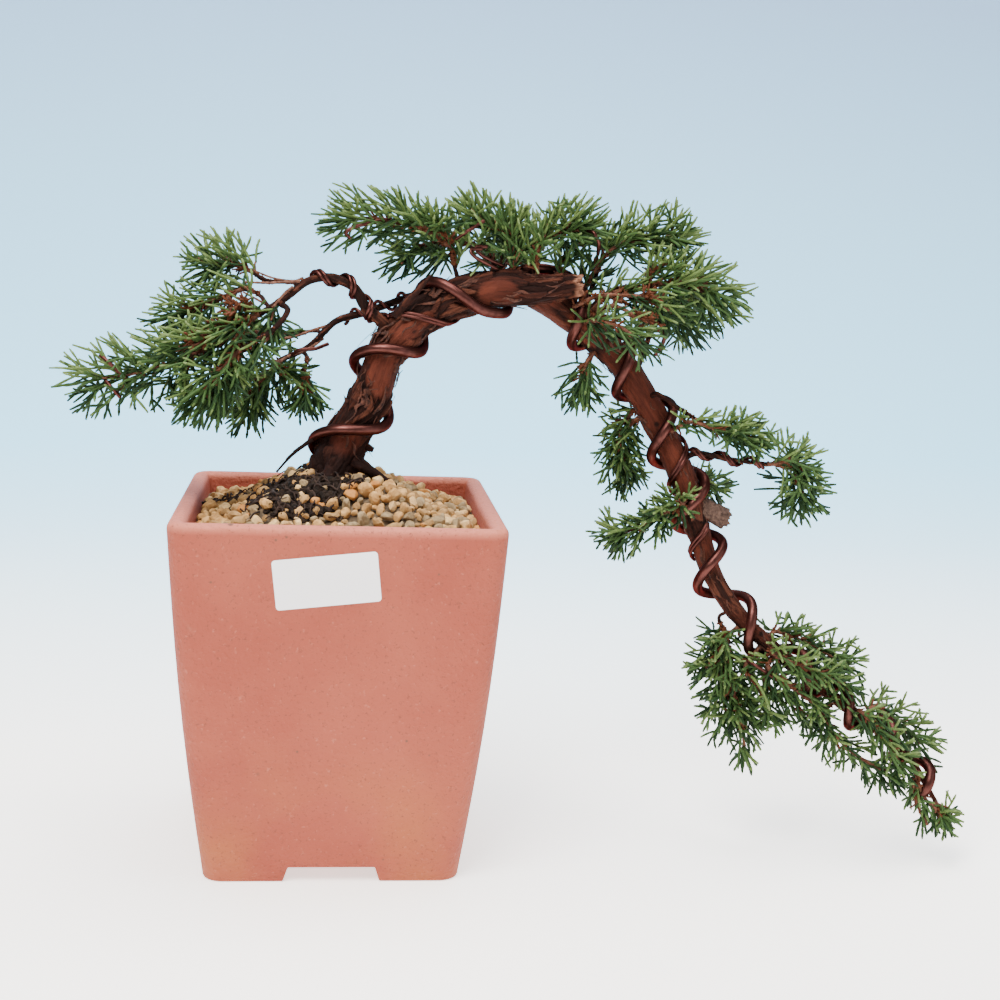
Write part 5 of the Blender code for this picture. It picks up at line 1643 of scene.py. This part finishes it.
@dataclass
class Mass:
    """One mass or sprig of foliage: a stem, the twigs that branch from it, and the sprays on them."""

    row: Sequence
    limbs: dict[str, Path]
    keepout: Keepout
    taken: set[tuple[int, int, int]]
    middle: Vector
    twig_share: float = 0.62
    twig_first: float = 0.08
    twig_last: float = 0.99
    twig_splay: float = math.radians(56.0)
    spray_splay: float = math.radians(52.0)
    twig_radii: tuple[float, float, float] = (0.00062, 0.00054, 0.00048)
    spray_step: float = 0.0026
    clearance: float = 0.0009
    lowest: float = 0.005
    tries: int = 12
    plume: int = 5
    dead_on_stem: int = 26
    dead_with_bough: int = 100

    def __post_init__(self) -> None:
        """Lays out the stem from the tip of its bough or from the trunk's bark."""
        self.name, self.node, carrier, route, reach, self.lift, self.fullness = self.row
        route = metres(route)
        self.reach = float(metres(reach))
        self.rng = random.Random(self.name)
        self.habit = HABITS.get(self.name.split("_")[0], WHIPS)
        limb = self.limbs["cascade" if carrier == "cascade_tip" else carrier]
        root = limb.points[-1]
        if carrier in ("trunk", "cascade"):
            root, _ = limb.root_for(route[0])
        rows = np.vstack([root, route])
        radii = np.linspace(0.00125, 0.0007, len(rows))
        self.stem = Path.through(np.column_stack([rows, radii]), 8)
        self.spine = self.stem.points[len(self.stem.points) // 8:]
        self.bough = limb if carrier.startswith("bough") else None
        self.bare_share = BARE_SHARES.get(carrier, BARE_SHARE)
        if self.bough:
            outer = self.bough.lengths > self.bough.lengths[-1] * self.bare_share
            self.spine = np.vstack([self.bough.points[outer], self.stem.points])
        self.long = Shoots(10)
        self.short = Shoots(6)
        self.twigs = Shape(self.middle)

    def within(self, point: Array) -> bool:
        """Whether a point is inside the mass's own space, round its stem."""
        if point[2] < self.lowest:
            return False
        return bool(np.linalg.norm(self.spine - point, axis=1).min() < self.reach)

    def fits(self, start: Array, end: Array) -> bool:
        """Whether a shoot or twig stays in the space and off the wood."""
        samples = start + (end - start) * np.array([[0.45], [0.75], [1.0]])
        return self.within(end) and self.keepout.clear(samples, self.clearance)

    def claim(self, start: Array, end: Array) -> bool:
        """Takes the places along a shoot's outer part, if no other shoot has them."""
        samples = start + (end - start) * np.array([[0.50], [0.75], [1.0]])
        places = {tuple(place) for place in np.floor(samples / SHOOT_GAP).astype(int).tolist()}
        if places & self.taken and self.habit is not WITHERED:
            return False
        self.taken |= places
        return True

    def choose(self, point: Array) -> tuple[Green, Green]:
        """The greens of a shoot by where it grows: lighter outside and above, partly paler new growth and
        partly painted light, and darker inside and below as painted shade.
        """
        if self.name.startswith("dead"):
            return Green.DEAD, Green.DEAD
        axis = self.spine[np.argmin(np.linalg.norm(self.spine - point, axis=1))]
        outward = np.linalg.norm(point - axis) / self.reach
        # Painted light and shade: shoots further out and higher up get the lighter greens, inner and lower
        # ones the darkest.
        bright = 0.5 * outward + 0.5 * (point[2] - axis[2]) / self.reach + self.rng.gauss(0.10, 0.28)
        if bright > 0.74:
            return Green.FRESH_LIT, Green.TIP
        if bright > 0.20:
            return Green.LEAF, Green.FRESH_LIT if bright > 0.45 else Green.LEAF
        return Green.DEEP, Green.DEEP

    def grow_spray(self, start: Array, direction: Array, splay: float, roll: float, scale: float) -> None:
        """Adds a spray at the first roll with room for it: one shoot with others along both its sides."""
        length = self.rng.uniform(*self.habit.length) * scale
        for attempt in range(self.tries):
            leaning = turned(direction, splay, roll + attempt * GOLDEN_ANGLE)
            leaning = unit(leaning + UP * self.lift * 0.35)
            bend = (direction - leaning * (direction @ leaning)) * self.rng.uniform(-0.1, 0.6)
            bend += self.wander(0.30)
            end = start + (leaning + bend / 2) * length
            if self.fits(start, end) and self.claim(start, end):
                break
            length *= 0.96
        else:
            return
        radius = self.rng.uniform(*self.habit.radius)
        self.long.add(start, leaning, bend, length, radius, *self.choose(end))
        count = round(length / self.rng.uniform(*self.habit.gap))
        flat = self.rng.uniform(0, math.tau)
        for number in range(count):
            share = 0.18 + 0.64 * (number + self.rng.random() * 0.4) / count
            root = start + (leaning * share + bend * share ** 2 / 2) * length
            heading = unit(leaning + bend * share)
            side = flat + math.pi * number + self.rng.gauss(0, 0.5)
            self.grow_side(root, heading, side, length * (self.habit.side - 0.42 * share), radius)

    def grow_side(self, root: Array, heading: Array, roll: float, length: float, radius: float) -> None:
        """Adds a side shoot of a spray, curving up towards the spray's own heading."""
        side = turned(heading, math.radians(self.rng.uniform(*self.habit.lean)), roll)
        reach = length * self.rng.uniform(0.75, 1.20)
        bend = (heading - side * (heading @ side)) * self.rng.uniform(0.0, 0.6) + self.wander(0.22)
        end = root + (side + bend / 2) * reach
        if self.fits(root, end) and self.claim(root, end):
            self.short.add(root, side, bend, reach, radius * 0.95, *self.choose(end))

    def grow_twig(self, start: Array, along: Array, roll: float) -> None:
        """Branches a twig off the stem and sets sprays on it."""
        length = max(0.003, self.reach - 0.0120) * self.rng.uniform(0.40, 1.30)
        for attempt in range(self.tries):
            splay = self.twig_splay * self.rng.uniform(0.6, 1.15)
            direction = turned(along, splay, roll + attempt * GOLDEN_ANGLE)
            direction = unit(direction + UP * self.lift)
            end = start + direction * length
            if self.fits(start, end):
                break
        else:
            return
        points = np.array([start, (start + end) / 2 + self.wander(0.0007), end])
        path = Path.through(np.column_stack([points, self.twig_radii]), 3)
        self.add_twig(path, 0 if self.rng.random() < 0.6 else 1)
        self.grow_spray(end, direction, math.radians(8), roll, 1.0)
        count = max(2, round(length / self.spray_step))
        flat = self.rng.uniform(0, math.tau)
        for number in range(count):
            share = 0.15 + 0.75 * (number + self.rng.random() * 0.5) / count
            root, _ = path.spot(share)
            side = flat + math.pi * number + self.rng.gauss(0, 0.55)
            splay = self.spray_splay * self.rng.uniform(0.75, 1.35)
            self.grow_spray(root, direction, splay, side, 1.0 - 0.2 * share)

    def wander(self, size: float) -> Array:
        """A small random offset."""
        return np.array([self.rng.gauss(0, size) for _ in range(3)])

    def add_twig(self, path: Path, slot: int) -> None:
        """Adds a twig's tube to the mesh of twigs."""
        fine = path.spaced(0.0012)
        knots = 1 + 0.16 * np.sin(fine.lengths * 2600)[:, None]
        self.twigs.add_tube(fine.ring_grid(6, fine.radii[:, None] * knots), slot)

    def grow(self) -> None:
        """Grows the stem, its twigs, the plume at its tip and the dead scales."""
        self.add_twig(self.stem, 0)
        count = self.fullness * self.twig_share
        self.grow_along(self.stem, self.twig_first, self.twig_last, round(count))
        if self.bough:
            self.grow_along(self.bough, self.bare_share, 0.97, max(3, round(count / 5)))
        tip, along = self.stem.points[-1], self.stem.tangents[-1]
        roll = self.rng.uniform(0, math.tau)
        for number in range(self.plume):
            roll += GOLDEN_ANGLE
            splay = 0.1 if number == 0 else self.spray_splay * self.rng.uniform(0.6, 1.3)
            scale = max(1.0, self.reach / 0.0160) if number == 0 else 1.0
            self.grow_spray(tip - along * 0.0015 * number, along, splay, roll, scale)
        self.grow_dead()

    def grow_dead(self) -> None:
        """Sets dead scales on the inner part of the stem, and on the outer part of its bough."""
        for number in range(self.dead_with_bough if self.bough else self.dead_on_stem):
            limb, first, last, scale = self.stem, 0.02, 0.75, 1.0
            if self.bough and number % 2:
                limb, first, last, scale = self.bough, 0.45, 1.0, 0.42
            start, along = limb.spot(self.rng.uniform(first, last))
            heading = turned(along, 0.8, self.rng.uniform(0, 6.3))
            length = self.rng.uniform(0.002, 0.0055) * scale
            self.short.add(start, heading, self.wander(0.3), length, 0.00050, Green.DEAD, Green.DEAD)

    def grow_along(self, limb: Path, first: float, last: float, count: int) -> None:
        """Branches twigs off a limb at even steps, each turned on from the one before."""
        roll = self.rng.uniform(0, math.tau)
        for number in range(count):
            share = first + (last - first) * (number + 0.5) / count
            roll += GOLDEN_ANGLE
            self.grow_twig(*limb.spot(share), roll)

    def build(self, leaves: Sequence[Material], woods: Sequence[Material]) -> int:
        """Makes the mass's two pieces and returns how many shoots it has."""
        self.grow()
        shape = Shape(self.middle)
        self.long.pour(shape)
        self.short.pour(shape)
        settle(shape.build(self.name + "_shoots", leaves), ["foliage_" + self.node])
        settle(self.twigs.build(self.name + "_twigs", woods))
        return len(self.long.rows) + len(self.short.rows)


def build_foliage(middle: Vector, limbs: dict[str, Path], wires: Sequence[Path]) -> None:
    """Grows every mass."""
    leaves = [GREENS[green].make("shoots_" + green.name.lower()) for green in Green]
    woods = [
        WoodFinish((0.045, 0.015, 0.008), (0.17, 0.065, 0.036)).make("twig_bark"),
        WoodFinish((0.030, 0.055, 0.015), (0.09, 0.11, 0.035)).make("green_twig"),
    ]
    keepout = Keepout([*limbs.values(), *wires])
    taken: set[tuple[int, int, int]] = set()
    total = 0
    for row in [(row[0], *row) for row in MASSES] + SPRIGS:
        total += Mass(row, limbs, keepout, taken, middle).build(leaves, woods)
    LOG.info("shoots in all: %d", total)


# ---------------------------------------------------------------- studio


@dataclass
class Studio:
    """Camera, lights and backdrop."""

    middle: Vector
    focal_length: float = 55.4
    place: tuple[float, float, float] = (-0.0064, -0.7333, 0.3000)
    pitch: float = 0.1734
    yaw: float = 0.1143
    roll: float = 0.0431
    target: tuple[float, float, float] = (0.05, 0.0, 0.16)

    def build(self) -> None:
        """Sets up everything round the object."""
        self.build_camera()
        self.build_backdrop()
        self.build_sky()
        self.light("key", (-0.50, -0.70, 1.35), 0.8, 42.0, (1.0, 0.985, 0.96))
        self.light("top", (0.10, 0.10, 1.30), 0.8, 26.0, (1.0, 1.0, 1.0))
        self.light("fill", (0.95, -0.65, 0.60), 0.9, 6.0, (0.95, 0.975, 1.0))

    def build_camera(self) -> None:
        """The camera, turned by yaw, pitch and roll from a level look along +Y."""
        right, up, ahead = Vector((1, 0, 0)), Vector((0, 0, 1)), Vector((0, 1, 0))
        yaw = Matrix.Rotation(-self.yaw, 3, "Z")
        ahead, up = (ahead * math.cos(self.pitch) - up * math.sin(self.pitch),
                     up * math.cos(self.pitch) + ahead * math.sin(self.pitch))
        right, up, ahead = yaw @ right, yaw @ up, yaw @ ahead
        right, up = (right * math.cos(self.roll) + up * math.sin(self.roll),
                     up * math.cos(self.roll) - right * math.sin(self.roll))
        data = bpy.data.cameras.new("camera")
        data.lens = self.focal_length
        data.sensor_width = 36.0
        camera = bpy.data.objects.new("camera", data)
        matrix = Matrix((right, up, -ahead)).transposed().to_4x4()
        matrix.translation = Vector(self.place) + self.middle
        camera.matrix_world = matrix
        bpy.context.scene.collection.objects.link(camera)
        bpy.context.scene.camera = camera

    def build_backdrop(self) -> None:
        """A pale floor that curves up into a wall behind the tree."""
        bpy.ops.mesh.primitive_plane_add(size=7.0, location=(0.0, -1.9, 0.0))
        backdrop = bpy.context.object
        backdrop.name = "backdrop"
        bpy.ops.object.transform_apply(location=True)
        bpy.ops.object.mode_set(mode="EDIT")
        select_where(backdrop, lambda point: point.y > 1.0, "EDGE")
        bpy.ops.mesh.extrude_region_move(TRANSFORM_OT_translate={"value": (0.0, 0.0, 4.0)})
        select_where(backdrop, lambda point: point.y > 1.0 and point.z < 0.1, "EDGE")
        bpy.ops.mesh.bevel(offset=0.9, segments=24, affect="EDGES")
        bpy.ops.object.mode_set(mode="OBJECT")
        bpy.ops.object.shade_smooth()
        backdrop.data.materials.append(BackdropFinish().make("backdrop_paper"))

    def build_sky(self) -> None:
        """Soft, nearly white light from all round."""
        world = bpy.data.worlds.new("studio")
        world.use_nodes = True
        background = world.node_tree.nodes["Background"]
        background.inputs["Color"].default_value = (0.93, 0.97, 1.0, 1.0)
        background.inputs["Strength"].default_value = 0.30
        bpy.context.scene.world = world

    def light(self, name: str, place: tuple[float, float, float], size: float, power: float,
              colour: Colour) -> None:
        """One square soft light aimed at the tree."""
        data = bpy.data.lights.new(name, "AREA")
        data.shape = "SQUARE"
        data.size = size
        data.energy = power
        data.color = colour
        lamp = bpy.data.objects.new(name, data)
        lamp.location = place
        aim = Vector(self.target) - Vector(place)
        lamp.rotation_euler = aim.to_track_quat("-Z", "Y").to_euler()
        bpy.context.scene.collection.objects.link(lamp)


def main() -> None:
    """Builds every sub-assembly in order."""
    logging.basicConfig(level=logging.INFO, format="%(name)s: %(message)s")
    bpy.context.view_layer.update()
    bpy.ops.object.select_all(action="DESELECT")
    low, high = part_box("pot")
    middle = Vector(((low.x + high.x) / 2, (low.y + high.y) / 2, 0.0))
    Studio(middle).build()
    pot = Pot()
    pot.build(middle)
    Label().build(pot, middle)
    Soil(pot, middle).build()
    wood = Wood(middle)
    wood.build()
    wires = Wires(middle, wood.limbs)
    wires.build()
    build_foliage(middle, wood.limbs, wires.made)


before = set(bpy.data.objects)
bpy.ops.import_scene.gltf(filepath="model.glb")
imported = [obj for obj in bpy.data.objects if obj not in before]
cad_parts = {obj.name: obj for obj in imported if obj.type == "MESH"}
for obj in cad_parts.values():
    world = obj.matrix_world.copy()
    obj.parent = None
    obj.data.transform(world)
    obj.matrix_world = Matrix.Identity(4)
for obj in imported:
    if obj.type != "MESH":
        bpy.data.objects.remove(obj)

if __name__ == "__main__":
    main()
